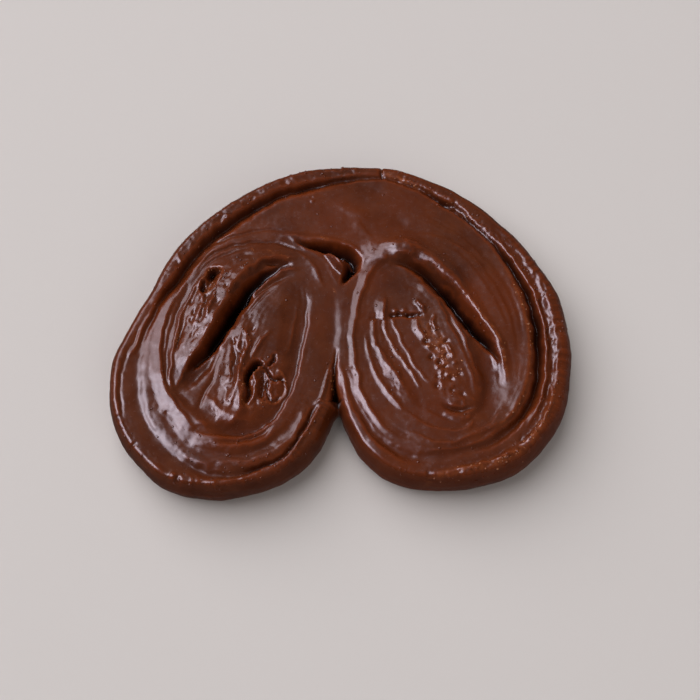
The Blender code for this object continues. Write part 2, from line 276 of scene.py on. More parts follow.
# The rim: the outermost layer of dough, which rolls round the whole outline.
RIM = (
    Stroke("rim_groove_left", (
        (10.6, 40.8, 0.4, -0.6), (7, 41.1, 0.5, -0.9), (3, 40.7, 0.7, -1.3),
        (-1, 40.2, 0.9, -1.7), (-6, 39.3, 1.0, -2.0), (-12, 37.7, 1.05, -2.3),
        (-18, 35.4, 1.1, -2.5), (-25, 30.9, 1.15, -2.7), (-30, 26.9, 1.2, -2.8),
        (-34, 23.6, 1.2, -2.8), (-37.2, 20, 1.2, -2.8), (-39.9, 16, 1.15, -2.7),
        (-42.4, 12, 1.05, -2.5), (-45.2, 8, 0.9, -2.0), (-47, 4.5, 0.7, -1.4),
        (-48.8, 0, 0.6, -0.8), (-50.6, -5, 0.6, -0.4), (-51.9, -9, 0.6, -0.1),
    ), lean=0.3, seed=1),
    Stroke("rim_dip_left", (
        (-48.8, -1, 0.9, -0.1), (-50.4, -6, 1.4, -0.35), (-51.3, -11, 1.7, -0.5),
        (-51.4, -16, 1.8, -0.55), (-50.8, -21.4, 1.8, -0.6), (-49.2, -26.4, 1.8, -0.6),
        (-46.6, -30.8, 1.8, -0.6), (-43.4, -34.6, 1.8, -0.6), (-39.4, -37.8, 1.7, -0.6),
        (-34.6, -40.2, 1.4, -0.5), (-29, -41.4, 1.0, -0.1),
    ), lean=-0.35, seed=5),
    Stroke("rim_groove_end", (
        (-38, -39.8, 1.2, -0.1), (-33, -41.2, 1.1, -0.4), (-29, -41.7, 1.0, -0.7),
        (-24, -41, 0.8, -1.0), (-18, -38.8, 0.55, -1.4), (-13, -35.4, 0.5, -1.7),
        (-10.2, -31, 0.45, -1.8), (-8.4, -27.4, 0.45, -1.6), (-7.3, -25, 0.4, -1.1),
        (-6.2, -23.4, 0.35, -0.3),
    ), lean=0.3, seed=1),
    Stroke("rim_valley_left", (
        (-36, -39.4, 1.4, -0.05), (-30, -40.6, 1.6, -0.25), (-24, -40.6, 1.3, -0.25),
        (-20, -39.4, 1.0, -0.1),
    ), lean=0.1, seed=2),
    Stroke("rim_layer_left_outer", (
        (-47.4, 6, 0.3, 0.0), (-50.2, 0, 0.4, -0.2), (-53, -6, 0.45, -0.22),
        (-55.2, -12, 0.45, -0.25), (-55.7, -19, 0.45, -0.25), (-54.6, -26, 0.45, -0.25),
        (-52.6, -31.4, 0.3, 0.0),
    ), seed=3),
    Stroke("rim_layer_left_inner", (
        (-48.4, 3, 0.5, 0.1), (-51.2, -3, 0.6, 0.2), (-53.2, -9, 0.6, 0.2),
    ), wander=0.5, uneven=0.8, seed=31),
    Stroke("rim_plate", (
        (-55.0, -8, 0.5, 0.05), (-56.4, -13, 0.8, 0.25), (-56.8, -18.5, 0.85, 0.35),
        (-56.2, -24, 0.85, 0.4), (-54.8, -28.6, 0.85, 0.45), (-53.1, -32.4, 0.85, 0.55),
    ), profile=Profile.STEEP, wander=0.05, uneven=0.05),
    Stroke("rim_plate_step", (
        (-54.4, -34.2, 0.4, -0.3), (-52.8, -34.0, 0.45, -0.5), (-51.2, -33.2, 0.4, -0.4),
    ), wander=0.05),
    Stroke("rim_roll_lower_left", (
        (-51.6, -35.0, 1.0, 0.1), (-49.0, -38.4, 1.3, 0.3), (-45.8, -41.2, 1.4, 0.35),
        (-42.2, -43.0, 1.4, 0.3), (-38.4, -44.2, 1.4, 0.35), (-33.4, -44.8, 1.4, 0.35),
        (-27.6, -44.2, 1.3, 0.3), (-22, -42.6, 1.0, 0.1),
    ), wander=0.3, uneven=0.5, seed=5),
    Stroke("rim_pimple", ((-41.6, -41.2, 0.5, 0.5), (-41.0, -41.5, 0.5, 0.6)), wander=0.0),
    Stroke("rim_pit", ((-40.2, -42.0, 0.4, -0.7), (-39.6, -42.5, 0.4, -0.8)), wander=0.0),
    Stroke("rim_nick_upper", ((-42.2, 17.7, 0.3, 0.45), (-41.7, 16.6, 0.35, 0.4)),
           wander=0.0),
    Stroke("rim_nick_top", ((-30.2, 29.9, 0.3, 0.4), (-29.8, 29.1, 0.3, 0.5)), wander=0.0),
    Stroke("rim_split", (
        (10.6, 43.2, 0.3, -0.7), (10.5, 42.0, 0.35, -1.0), (10.8, 41.0, 0.35, -0.8),
    ), profile=Profile.STEEP, wander=0.05),
    Stroke("rim_groove_right", (
        (11.4, 41, 0.4, -0.7), (15, 39.9, 0.5, -0.9), (19, 38.4, 0.6, -0.9),
        (23, 36.0, 0.7, -1.1), (27, 33.4, 0.75, -1.2), (31, 30.2, 0.65, -1.0),
        (34.5, 27.0, 0.55, -1.0), (37.5, 24.0, 0.5, -1.2), (40.4, 20.4, 0.6, -1.8),
        (43.2, 16.2, 0.75, -2.6), (46, 11.6, 0.85, -3.2), (48.3, 6.4, 0.95, -3.6),
        (49.5, 1, 1.0, -3.8), (50.0, -5, 1.0, -3.8), (50.0, -11, 1.0, -3.6),
        (49.4, -16, 0.95, -3.2), (48.2, -20.4, 0.9, -2.7), (46.2, -24.8, 0.85, -2.1),
        (43.2, -28.4, 0.9, -1.6), (39, -31.8, 1.0, -1.2), (33.5, -34.4, 1.1, -0.9),
        (27, -36.0, 1.3, -0.6), (20, -36.8, 1.5, -0.5), (14, -36.0, 1.3, -0.5),
        (9.8, -33.2, 1.0, -0.5),
    ), wander=0.18, seed=6),
    Stroke("rim_lip_right", (
        (40.4, 23.4, 0.3, 0.1), (42.6, 20.2, 0.4, 0.4), (45.8, 14.4, 0.45, 0.5),
        (48.4, 9.4, 0.45, 0.55), (50.3, 4.6, 0.45, 0.6), (51.3, -0.6, 0.45, 0.6),
        (51.8, -6, 0.45, 0.55), (51.8, -11, 0.45, 0.5), (51.3, -16, 0.45, 0.5),
        (50.1, -21, 0.45, 0.5), (48.2, -25.8, 0.4, 0.4), (45.8, -29.2, 0.35, 0.0),
    ), wander=0.1, seed=7),
    Stroke("rim_dip_right", (
        (44.4, 19.6, 0.6, -0.1), (48.4, 13.2, 0.8, -0.4), (51.0, 7, 0.9, -0.5),
        (52.4, 1, 0.9, -0.55), (53.0, -6, 0.9, -0.55), (52.9, -13, 0.9, -0.55),
        (51.7, -19.6, 0.8, -0.45), (49.8, -25, 0.6, -0.2),
    ), wander=0.3, uneven=0.4, seed=8),
    Stroke("rim_crest_right", (
        (41, 27, 1.2, 0.1), (46.2, 20, 1.3, 0.25), (50.2, 12.6, 1.4, 0.35),
        (53.2, 5, 1.5, 0.4), (54.7, -2.4, 1.5, 0.4), (54.9, -9, 1.4, 0.4),
        (54.4, -16, 1.3, 0.4), (52.6, -22.6, 1.2, 0.3), (50.0, -28.6, 1.2, 0.2),
    ), Profile.CUSP, lean=0.4, wander=0.3, uneven=0.5, seed=9),
    Stroke("rim_torn_ridge", (
        (53.2, -19.5, 0.6, 0.2), (51.2, -25.2, 0.9, 0.8), (48.4, -29.8, 1.0, 1.1),
        (44.8, -33.6, 1.0, 1.2), (40.6, -36.6, 1.0, 1.2), (35.6, -38.8, 1.0, 1.2),
        (30.4, -39.8, 1.0, 1.2), (26, -40.4, 1.0, 1.0), (23, -41.4, 0.8, 0.6),
        (20.8, -42.4, 0.5, 0.1),
    ), lean=0.3, wander=0.4, uneven=0.5, seed=10),
    Stroke("rim_torn_groove", (
        (52.6, -25.4, 0.4, -0.1), (50.0, -30.4, 0.5, -0.7), (46.2, -34.8, 0.5, -0.8),
        (41.4, -38.2, 0.5, -0.7), (36, -40.6, 0.5, -0.7), (30, -41.8, 0.5, -0.8),
        (25, -42.6, 0.5, -0.7), (21.6, -43.4, 0.4, -0.3),
    ), wander=0.35, uneven=0.6, seed=11),
    Stroke("rim_inner_left_lobe", (
        (-37, -42.2, 0.9, 0.1), (-31, -43.4, 0.9, 0.25), (-25, -42.6, 0.9, 0.35),
        (-19.6, -40.6, 0.9, 0.45), (-15, -37.8, 0.9, 0.55), (-11.6, -34, 0.9, 0.6),
        (-9.0, -29.8, 0.8, 0.6), (-6.8, -26, 0.8, 0.5), (-5.4, -23.4, 0.9, 0.4),
    ), seed=12),
    Stroke("left_tip_arc", ((-6.6, -22.6, 0.3, 0.2), (-5.4, -21.8, 0.35, 0.45),
                            (-4.2, -22.4, 0.3, 0.3)), wander=0.05),
    Stroke("left_tip_wrinkle", ((-6.2, -23.8, 0.25, -0.2), (-7.0, -25.0, 0.3, -0.5),
                                (-7.6, -26.6, 0.25, -0.3)), wander=0.1, seed=13),
    Stroke("rim_roll_right_lobe", (
        (0.1, -13, 0.5, 0.0), (0.8, -16, 0.9, 0.3), (1.8, -19.5, 1.2, 0.5),
        (3.0, -23.6, 1.6, 0.75), (4.8, -27.6, 2.0, 0.95), (7.2, -31.4, 2.1, 1.0),
        (10.2, -34.6, 2.1, 0.9), (13.4, -37.0, 1.8, 0.55), (17, -38.8, 1.4, 0.1),
    ), Profile.RAMP, lean=-0.45, uneven=0.3, seed=14),
    Stroke("rim_valley_right_lobe", (
        (1.0, -13, 0.5, -0.1), (1.7, -17, 0.6, -0.35), (2.9, -21.4, 0.7, -0.5),
        (4.9, -26.2, 0.8, -0.55), (7.8, -30.6, 0.9, -0.5), (11.6, -34.2, 1.0, -0.4),
        (17, -36.2, 1.1, -0.2),
    ), seed=15),
)

# The closed band at the back, smooth with thin flow lines.
BAND = (
    Stroke("band_fold_a", (
        (-1.6, 33.6, 1.2, 0.05), (0.6, 31.6, 1.3, 0.2), (3.2, 30.0, 1.4, 0.25),
        (5.8, 28.4, 1.4, 0.2), (7.4, 26.6, 1.2, 0.0),
    ), lean=0.3, wander=0.5, uneven=0.4, seed=20),
    Stroke("band_fold_b", (
        (1.2, 30.6, 1.0, 0.05), (3.8, 28.4, 1.1, 0.22), (5.4, 26.2, 1.1, 0.25),
        (6.6, 24.2, 1.1, 0.2), (7.4, 22.6, 1.1, 0.0),
    ), lean=-0.3, wander=0.4, uneven=0.4, seed=21),
    Stroke("band_dimple_back", ((3, 38.4, 1.4, -0.15), (8.6, 37.0, 2.0, -0.35),
                                (10.4, 34.6, 1.6, -0.1)), wander=0.2),
    Stroke("band_dimple_right", ((12.6, 29.6, 1.4, -0.1), (15.2, 27.8, 1.6, -0.3),
                                 (17.4, 25.6, 1.2, -0.05)), wander=0.2),
    Stroke("band_pock", ((-8.0, 35.0, 0.3, -0.25), (-7.8, 33.9, 0.35, 0.25)), wander=0.0),
    Stroke("band_line_a", (
        (-38.4, 12.6, 0.35, 0.0), (-34.4, 17.8, 0.4, -0.4), (-29.6, 20.5, 0.4, -0.5),
        (-24.6, 21.6, 0.4, -0.5), (-19.6, 21.9, 0.4, -0.5), (-14.6, 21.0, 0.4, -0.45),
        (-10.4, 19.0, 0.35, -0.2), (-8, 17.6, 0.3, 0.0),
    ), lean=-0.4, seed=22),
    Stroke("band_line_b", (
        (-37.4, 17.6, 0.35, 0.0), (-33.6, 21.4, 0.4, -0.35), (-29, 23.4, 0.4, -0.45),
        (-24, 25.0, 0.4, -0.4), (-18.6, 25.6, 0.4, -0.35), (-12.6, 25.4, 0.35, 0.0),
    ), lean=-0.4, seed=23),
    Stroke("band_line_c", (
        (-38.8, 9.6, 0.3, 0.0), (-35.2, 15.2, 0.35, -0.3), (-31, 18.0, 0.35, -0.35),
        (-26.6, 19.4, 0.35, -0.2), (-22.6, 20.0, 0.3, 0.0),
    ), seed=24),
    Stroke("band_line_d", (
        (-43.6, 6, 0.3, 0.0), (-41, 11.2, 0.35, -0.3), (-38, 15.6, 0.35, -0.3),
        (-34, 19.8, 0.35, -0.2), (-31, 21.6, 0.3, 0.0),
    ), seed=25),
    Stroke("band_swell_left", (
        (-33, 24.6, 1.4, 0.1), (-26, 29.0, 1.6, 0.25), (-18, 32.6, 1.6, 0.3),
        (-9, 35.4, 1.6, 0.3), (0, 37.0, 1.5, 0.2), (8, 38.0, 1.3, 0.05),
    ), seed=26),
    Stroke("band_line_e", (
        (13, 24.4, 2.0, 0.0), (18, 24.4, 2.6, 0.15), (24, 23.5, 2.8, 0.22),
        (28.6, 21.4, 2.8, 0.25), (32.2, 19.0, 2.8, 0.25), (35.8, 15.0, 2.8, 0.25),
        (39, 10.0, 2.6, 0.25), (41.8, 4, 2.4, 0.25), (43.6, -3, 2.2, 0.2),
        (44.4, -10, 1.8, 0.0),
    ), lean=-0.84, seed=27),
    Stroke("band_line_f", (
        (22, 22.2, 1.6, 0.0), (27, 20.2, 2.0, 0.12), (31.4, 17.0, 2.2, 0.16),
        (35.4, 12.2, 2.2, 0.16), (38.6, 6.6, 2.2, 0.16), (41.2, 0, 2.0, 0.15),
        (42.6, -7, 1.6, 0.0),
    ), lean=-0.84, seed=28),
    Stroke("band_line_g", (
        (20, 29.8, 2.2, 0.0), (27, 26.2, 2.8, 0.15), (33, 21.4, 2.8, 0.2),
        (38, 15.4, 2.8, 0.22), (42, 8.6, 2.6, 0.22), (44.6, 1, 2.4, 0.2),
        (45.6, -7, 2.0, 0.0),
    ), lean=-0.84, seed=29),
    Stroke("band_edge_right", (
        (34, 26.4, 1.0, 0.1), (38.6, 21.0, 1.2, 0.35), (42.2, 15, 1.3, 0.45),
        (45.0, 8.6, 1.3, 0.5), (46.8, 2.4, 1.3, 0.55), (47.6, -4, 1.3, 0.55),
        (47.6, -10, 1.3, 0.55), (46.8, -16, 1.3, 0.5), (44.8, -21.6, 1.3, 0.45),
        (41.4, -26.4, 1.2, 0.4), (36.6, -29.8, 1.1, 0.3), (30.6, -32.2, 1.0, 0.1),
    ), lean=-0.6, seed=30),
    Stroke("rim_crumble_groove", (
        (22.4, 36.8, 0.5, -0.2), (25.6, 34.6, 0.7, -0.9), (29, 32.4, 0.7, -0.9),
        (32, 29.8, 0.5, -0.6), (34.4, 27.0, 0.5, -0.6), (36.8, 24.4, 0.4, -0.2),
    ), wander=0.5, uneven=0.8, seed=31),
)

# The left lobe: a thick finger of dough coiled over a slot, with the core beyond it.
LEFT_LOBE = (
    Stroke("left_dome", (
        (-44.8, -12, 1.1, 0.0), (-43.5, -17.4, 1.8, 0.3), (-40.8, -22.2, 2.5, 0.75),
        (-37.2, -26.6, 2.7, 1.05), (-33.0, -30.2, 2.8, 1.05), (-27.6, -33.4, 2.6, 0.7),
        (-21, -34.6, 2.2, 0.1),
    ), Profile.RAMP, lean=-0.35, wander=0.3, seed=40),
    Stroke("left_streak", (
        (-40.6, 9.6, 0.6, 0.05), (-42.4, 6, 0.7, 0.25), (-44.0, 2, 0.8, 0.4),
        (-45.2, -2.4, 0.95, 0.5), (-45.7, -7, 1.1, 0.6), (-45.5, -11.6, 1.3, 0.7),
        (-44.8, -16, 1.4, 0.75), (-43.2, -20.2, 1.4, 0.6), (-40.6, -24, 1.2, 0.4),
        (-38.0, -27.6, 1.1, 0.3), (-36, -30.4, 1.0, 0.05),
    ), Profile.RAMP, lean=-0.6, wander=0.2, seed=41),
    Stroke("left_flake_1", (
        (-40.2, 9.4, 0.3, 0.0), (-43.0, 4, 0.35, -0.3), (-44.7, -2, 0.35, -0.35),
        (-45.3, -8, 0.35, -0.35), (-44.9, -13, 0.35, -0.3), (-43.6, -17.6, 0.3, 0.0),
    ), seed=42),
    Stroke("left_flake_2", (
        (-38.8, 10, 0.3, 0.0), (-41.5, 4, 0.35, -0.35), (-43.4, -3, 0.35, -0.4),
        (-44.2, -9, 0.35, -0.4), (-43.9, -14, 0.35, -0.35), (-42.8, -18.4, 0.3, 0.0),
    ), seed=43),
    Stroke("left_tip_valley", (
        (-43.0, -17.4, 0.7, -0.1), (-41.4, -19.6, 1.0, -0.35), (-39.4, -22.0, 1.2, -0.45),
        (-37.6, -24.8, 1.2, -0.35), (-36.2, -27.2, 1.0, -0.1),
    ), wander=0.2, seed=44),
    Stroke("left_finger", (
        (-11.0, 17.4, 1.4, 0.2), (-15.4, 17.6, 1.9, 0.8), (-19.6, 16.9, 2.4, 1.4),
        (-23.2, 14.5, 3.0, 2.1), (-26.2, 11.3, 3.6, 2.7), (-28.6, 7.6, 3.8, 3.0),
        (-30.4, 3.8, 3.9, 3.0), (-32.1, 0, 3.8, 2.9), (-34.0, -3.8, 3.5, 2.7),
        (-36.2, -7.8, 2.9, 2.2), (-38.5, -11.8, 2.2, 1.6), (-40.4, -15.6, 1.4, 0.9),
        (-41.6, -18.4, 0.8, 0.2),
    ), Profile.RAMP, lean=-0.5, wander=0.25, seed=45),
    Stroke("left_finger_edge", (
        (-35.4, 13.4, 0.35, 0.1), (-37.4, 9.2, 0.4, 0.45), (-38.9, 6, 0.4, 0.5),
        (-40.3, 3, 0.45, 0.5), (-41.4, -1, 0.45, 0.6), (-42.0, -5, 0.5, 0.7),
        (-42.5, -9, 0.5, 0.75), (-42.9, -13, 0.5, 0.75), (-43.0, -16.6, 0.45, 0.6),
        (-42.0, -18.9, 0.35, 0.1),
    ), wander=0.2, uneven=0.4, seed=46),
    Stroke("left_finger_edge_groove", (
        (-40.2, -0.6, 0.35, -0.2), (-40.9, -3.4, 0.4, -0.6), (-41.5, -6.6, 0.4, -0.6),
        (-41.6, -9, 0.35, -0.1),
    ), wander=0.3, uneven=0.5, seed=47),
    Stroke("left_finger_ripple_1", (
        (-36.0, 6.6, 0.6, 0.2), (-35.6, 4.2, 0.7, 0.5), (-36.0, 1.6, 0.8, 0.5),
        (-37.0, -0.6, 0.7, 0.2),
    ), wander=0.3, uneven=0.4, seed=48),
    Stroke("left_finger_ripple_2", (
        (-32.4, 6.8, 0.5, 0.3), (-33.4, 4.0, 0.6, 0.6), (-34.2, 1.0, 0.6, 0.6),
        (-34.6, -0.8, 0.5, 0.2),
    ), wander=0.3, uneven=0.4, seed=49),
    Stroke("left_finger_dent", (
        (-34.6, 5.4, 0.4, -0.3), (-34.8, 3.0, 0.5, -0.6), (-35.2, 0.6, 0.4, -0.3),
    ), wander=0.2, seed=50),
    Stroke("left_slot", (
        (-13.4, 15.2, 0.5, -0.3), (-15.8, 14.7, 0.7, -1.2), (-18.4, 13.4, 0.9, -2.4),
        (-20.9, 11.3, 1.1, -3.8), (-23.5, 8.6, 1.2, -5.2), (-25.9, 5.4, 1.3, -6.2),
        (-28.1, 1.8, 1.4, -6.6), (-30.2, -1.9, 1.35, -6.2), (-32.3, -5.5, 1.2, -5.0),
        (-34.4, -8.7, 1.0, -3.2), (-36.4, -11.5, 0.8, -1.6), (-38.0, -13.8, 0.6, -0.3),
    ), profile=Profile.FIRM, lean=0.08, wander=0.3, seed=51),
    Stroke("left_slot_recess", (
        (-20.4, 15.6, 0.5, -0.3), (-17.8, 15.9, 0.7, -1.0), (-14.6, 15.5, 0.6, -0.5),
    ), profile=Profile.FIRM, seed=52),
    Stroke("left_slot_floor", (
        (-31.9, -8.5, 1.8, -0.7), (-34.2, -12.5, 2.2, -1.2), (-37.0, -16.0, 2.2, -1.0),
        (-39.2, -18.6, 1.4, -0.3),
    ), lean=-0.35, seed=53),
    Stroke("left_slot_lip", (
        (-10.5, 14.4, 0.35, 0.05), (-13.6, 13.9, 0.4, 0.3), (-16.4, 12.9, 0.4, 0.4),
        (-19.3, 10.8, 0.4, 0.4), (-21.8, 8.4, 0.4, 0.4), (-24.1, 5.6, 0.4, 0.35),
        (-26.2, 2.6, 0.4, 0.3), (-28.3, -1.0, 0.4, 0.25), (-30.2, -4.6, 0.4, 0.2),
        (-32.2, -8.0, 0.4, 0.1),
    ), wander=0.1, seed=54),
    Stroke("left_lip_valley_1", (
        (-12.6, 12.4, 0.5, -0.1), (-16.0, 11.4, 0.6, -0.45), (-19.4, 9.2, 0.6, -0.6),
        (-22.6, 6.2, 0.6, -0.6), (-25.2, 2.4, 0.6, -0.5), (-27.2, -2, 0.5, -0.3),
    ), lean=0.3, seed=55),
    Stroke("left_lip_valley_2", (
        (-16.2, 9.4, 0.4, 0.0), (-19.2, 7.4, 0.4, -0.3), (-22, 4.6, 0.4, -0.35),
        (-24.2, 1.2, 0.4, -0.2), (-25.6, -1.6, 0.3, 0.0),
    ), seed=56),
    Stroke("left_core_body", (
        (-14.5, 8.5, 3.0, 0.2), (-18, 3, 3.4, 0.45), (-20.4, -3, 3.6, 0.6),
        (-22.2, -9.5, 3.6, 0.6), (-23.6, -16, 3.6, 0.6), (-24.4, -21, 3.2, 0.3),
    ), seed=57),
    Stroke("left_core_wall", (
        (-24.6, 0.4, 0.8, 0.1), (-25.6, -3.6, 1.2, 0.5), (-26.0, -8.0, 1.4, 0.8),
        (-25.8, -12.4, 1.5, 1.0), (-25.6, -16.4, 1.7, 1.2), (-25.4, -20.0, 2.2, 1.4),
        (-25.6, -23.6, 2.8, 1.4), (-26.6, -26.6, 2.4, 0.9), (-28.2, -29.0, 1.6, 0.1),
    ), Profile.RAMP, lean=-0.45, wander=0.3, uneven=0.4, seed=58),
    Stroke("left_core_valley", (
        (-27.6, -5.4, 0.5, -0.2), (-26.6, -9.4, 0.6, -0.6), (-26.8, -13.4, 0.7, -0.8),
        (-27.6, -17.4, 0.5, -0.3),
    ), wander=0.35, uneven=0.5, seed=59),
    Stroke("left_core_foot_valley", (
        (-30.0, -8.6, 0.4, -0.1), (-31.4, -13, 0.45, -0.35), (-33.0, -18, 0.5, -0.45),
        (-34.8, -22, 0.5, -0.4), (-36.4, -25, 0.4, -0.1),
    ), lean=-0.3, wander=0.2, seed=60),
    Stroke("left_core_ridge_2", (
        (-23.4, -1.0, 0.5, 0.2), (-24.2, -4.4, 0.7, 0.6), (-23.6, -7.4, 0.7, 0.6),
        (-24.6, -11.4, 0.8, 0.6), (-25.6, -15.6, 0.8, 0.7), (-26.4, -19.6, 0.8, 0.6),
        (-27.8, -23.6, 0.8, 0.1),
    ), wander=0.4, uneven=0.5, seed=61),
    Stroke("left_core_curl", ((-24.6, -3.6, 0.4, 0.4), (-23.4, -5.0, 0.5, 0.5),
                              (-23.0, -7.2, 0.4, 0.4)), wander=0.1, seed=62),
    Stroke("left_core_ridge_3", (
        (-18.0, -3.0, 0.4, 0.1), (-19.8, -5.4, 0.5, 0.45), (-21.4, -8.0, 0.5, 0.55),
        (-22.4, -10.4, 0.4, 0.3),
    ), wander=0.1, seed=63),
    Stroke("left_core_plateau", (
        (-14.6, 7.0, 1.6, 0.1), (-15.6, 2.4, 2.0, 0.25), (-16.0, -3, 2.0, 0.3),
        (-16.6, -8, 1.7, 0.25), (-17.4, -11, 1.2, 0.1),
    ), lean=-0.4, seed=64),
    Stroke("left_core_foot", (
        (-34.6, -20.6, 1.2, 0.05), (-32.6, -22.6, 1.8, 0.4), (-30.0, -24.9, 2.0, 0.6),
        (-26.8, -26.6, 1.9, 0.6), (-23.4, -27.4, 1.7, 0.4), (-20.4, -27.6, 1.4, 0.1),
    ), Profile.RAMP, lean=-0.35, wander=0.2, seed=65),
    Stroke("left_core_groove", (
        (-9.4, 8.6, 1.6, 0.0), (-8.9, 4, 2.0, -0.35), (-9.3, -1, 2.0, -0.8),
        (-10.2, -6, 1.8, -1.1), (-11.0, -11, 1.7, -1.2), (-12.1, -16, 1.6, -1.2),
        (-13.9, -21, 1.6, -1.2), (-16.4, -25.6, 1.7, -1.2), (-20.2, -29.2, 1.8, -1.2),
        (-25.4, -30.9, 1.7, -1.2), (-31.0, -31.0, 1.4, -1.0), (-35.6, -30.4, 0.9, -0.4),
    ), profile=Profile.FIRM, lean=-0.7, seed=66),
    Stroke("left_groove_ridge", (
        (-11.2, 5, 0.4, 0.05), (-11.9, 0, 0.5, 0.2), (-12.8, -5, 0.5, 0.25),
        (-13.8, -9.4, 0.45, 0.1),
    ), seed=67),
    Stroke("left_inner_hollow", (
        (-2.2, 8.4, 1.6, 0.0), (-2.0, 3, 2.2, -0.35), (-2.2, -3, 2.4, -0.5),
        (-2.4, -9, 2.4, -0.5), (-3.0, -14, 2.0, -0.3), (-4.0, -18, 1.4, 0.0),
    ), lean=-0.3, seed=69),
    Stroke("left_crescent_line", (
        (-31, -33.0, 0.4, -0.05), (-27.6, -33.2, 0.55, -0.7), (-24, -32.7, 0.6, -0.8),
        (-20.4, -31.2, 0.5, -0.6), (-17.4, -29.0, 0.4, -0.1),
    ), seed=70),
    Stroke("left_ring_1", (
        (-36, -32.6, 1.0, 0.1), (-32, -33.4, 1.2, 0.25), (-27.6, -34.0, 1.2, 0.35),
        (-22.6, -33.4, 1.2, 0.35), (-18, -31.2, 1.1, 0.3), (-14.4, -27.6, 1.0, 0.15),
    ), lean=-0.2, seed=71),
    Stroke("left_ring_valley", (
        (-33, -35.8, 1.0, -0.15), (-28, -36.2, 1.1, -0.35), (-23, -35.6, 1.1, -0.4),
        (-18, -33.4, 1.1, -0.35), (-14, -29.8, 1.0, -0.3), (-11.2, -25.6, 0.9, -0.15),
    ), seed=72),
    Stroke("left_ring_2", (
        (-38, -36.6, 1.4, 0.1), (-33, -38.0, 1.5, 0.3), (-27.6, -38.4, 1.5, 0.4),
        (-22, -37.6, 1.4, 0.45), (-17, -35.6, 1.2, 0.45), (-13, -32.4, 1.1, 0.4),
        (-10.4, -28.2, 0.9, 0.3), (-9.0, -24, 0.7, 0.1),
    ), lean=-0.2, seed=73),
    Stroke("left_knob", ((-31.7, -22.5, 0.8, 0.3), (-31.5, -22.7, 0.8, 0.3)), wander=0.0),
    Stroke("left_shoulder", (
        (-12.0, 19.4, 0.7, 0.05), (-9.2, 17.2, 0.9, 0.25), (-6.9, 14.4, 0.9, 0.3),
        (-5.3, 11, 0.8, 0.25), (-4.6, 8, 0.7, 0.0),
    ), Profile.CUSP, lean=-0.3, seed=74),
    Stroke("left_tip_ridge", (
        (-5.4, -21.6, 0.35, 0.3), (-4.6, -19.4, 0.35, 0.6), (-3.7, -16.4, 0.35, 0.7),
        (-2.9, -13.6, 0.35, 0.4), (-2.5, -11.6, 0.3, 0.0),
    ), wander=0.05, seed=75),
)

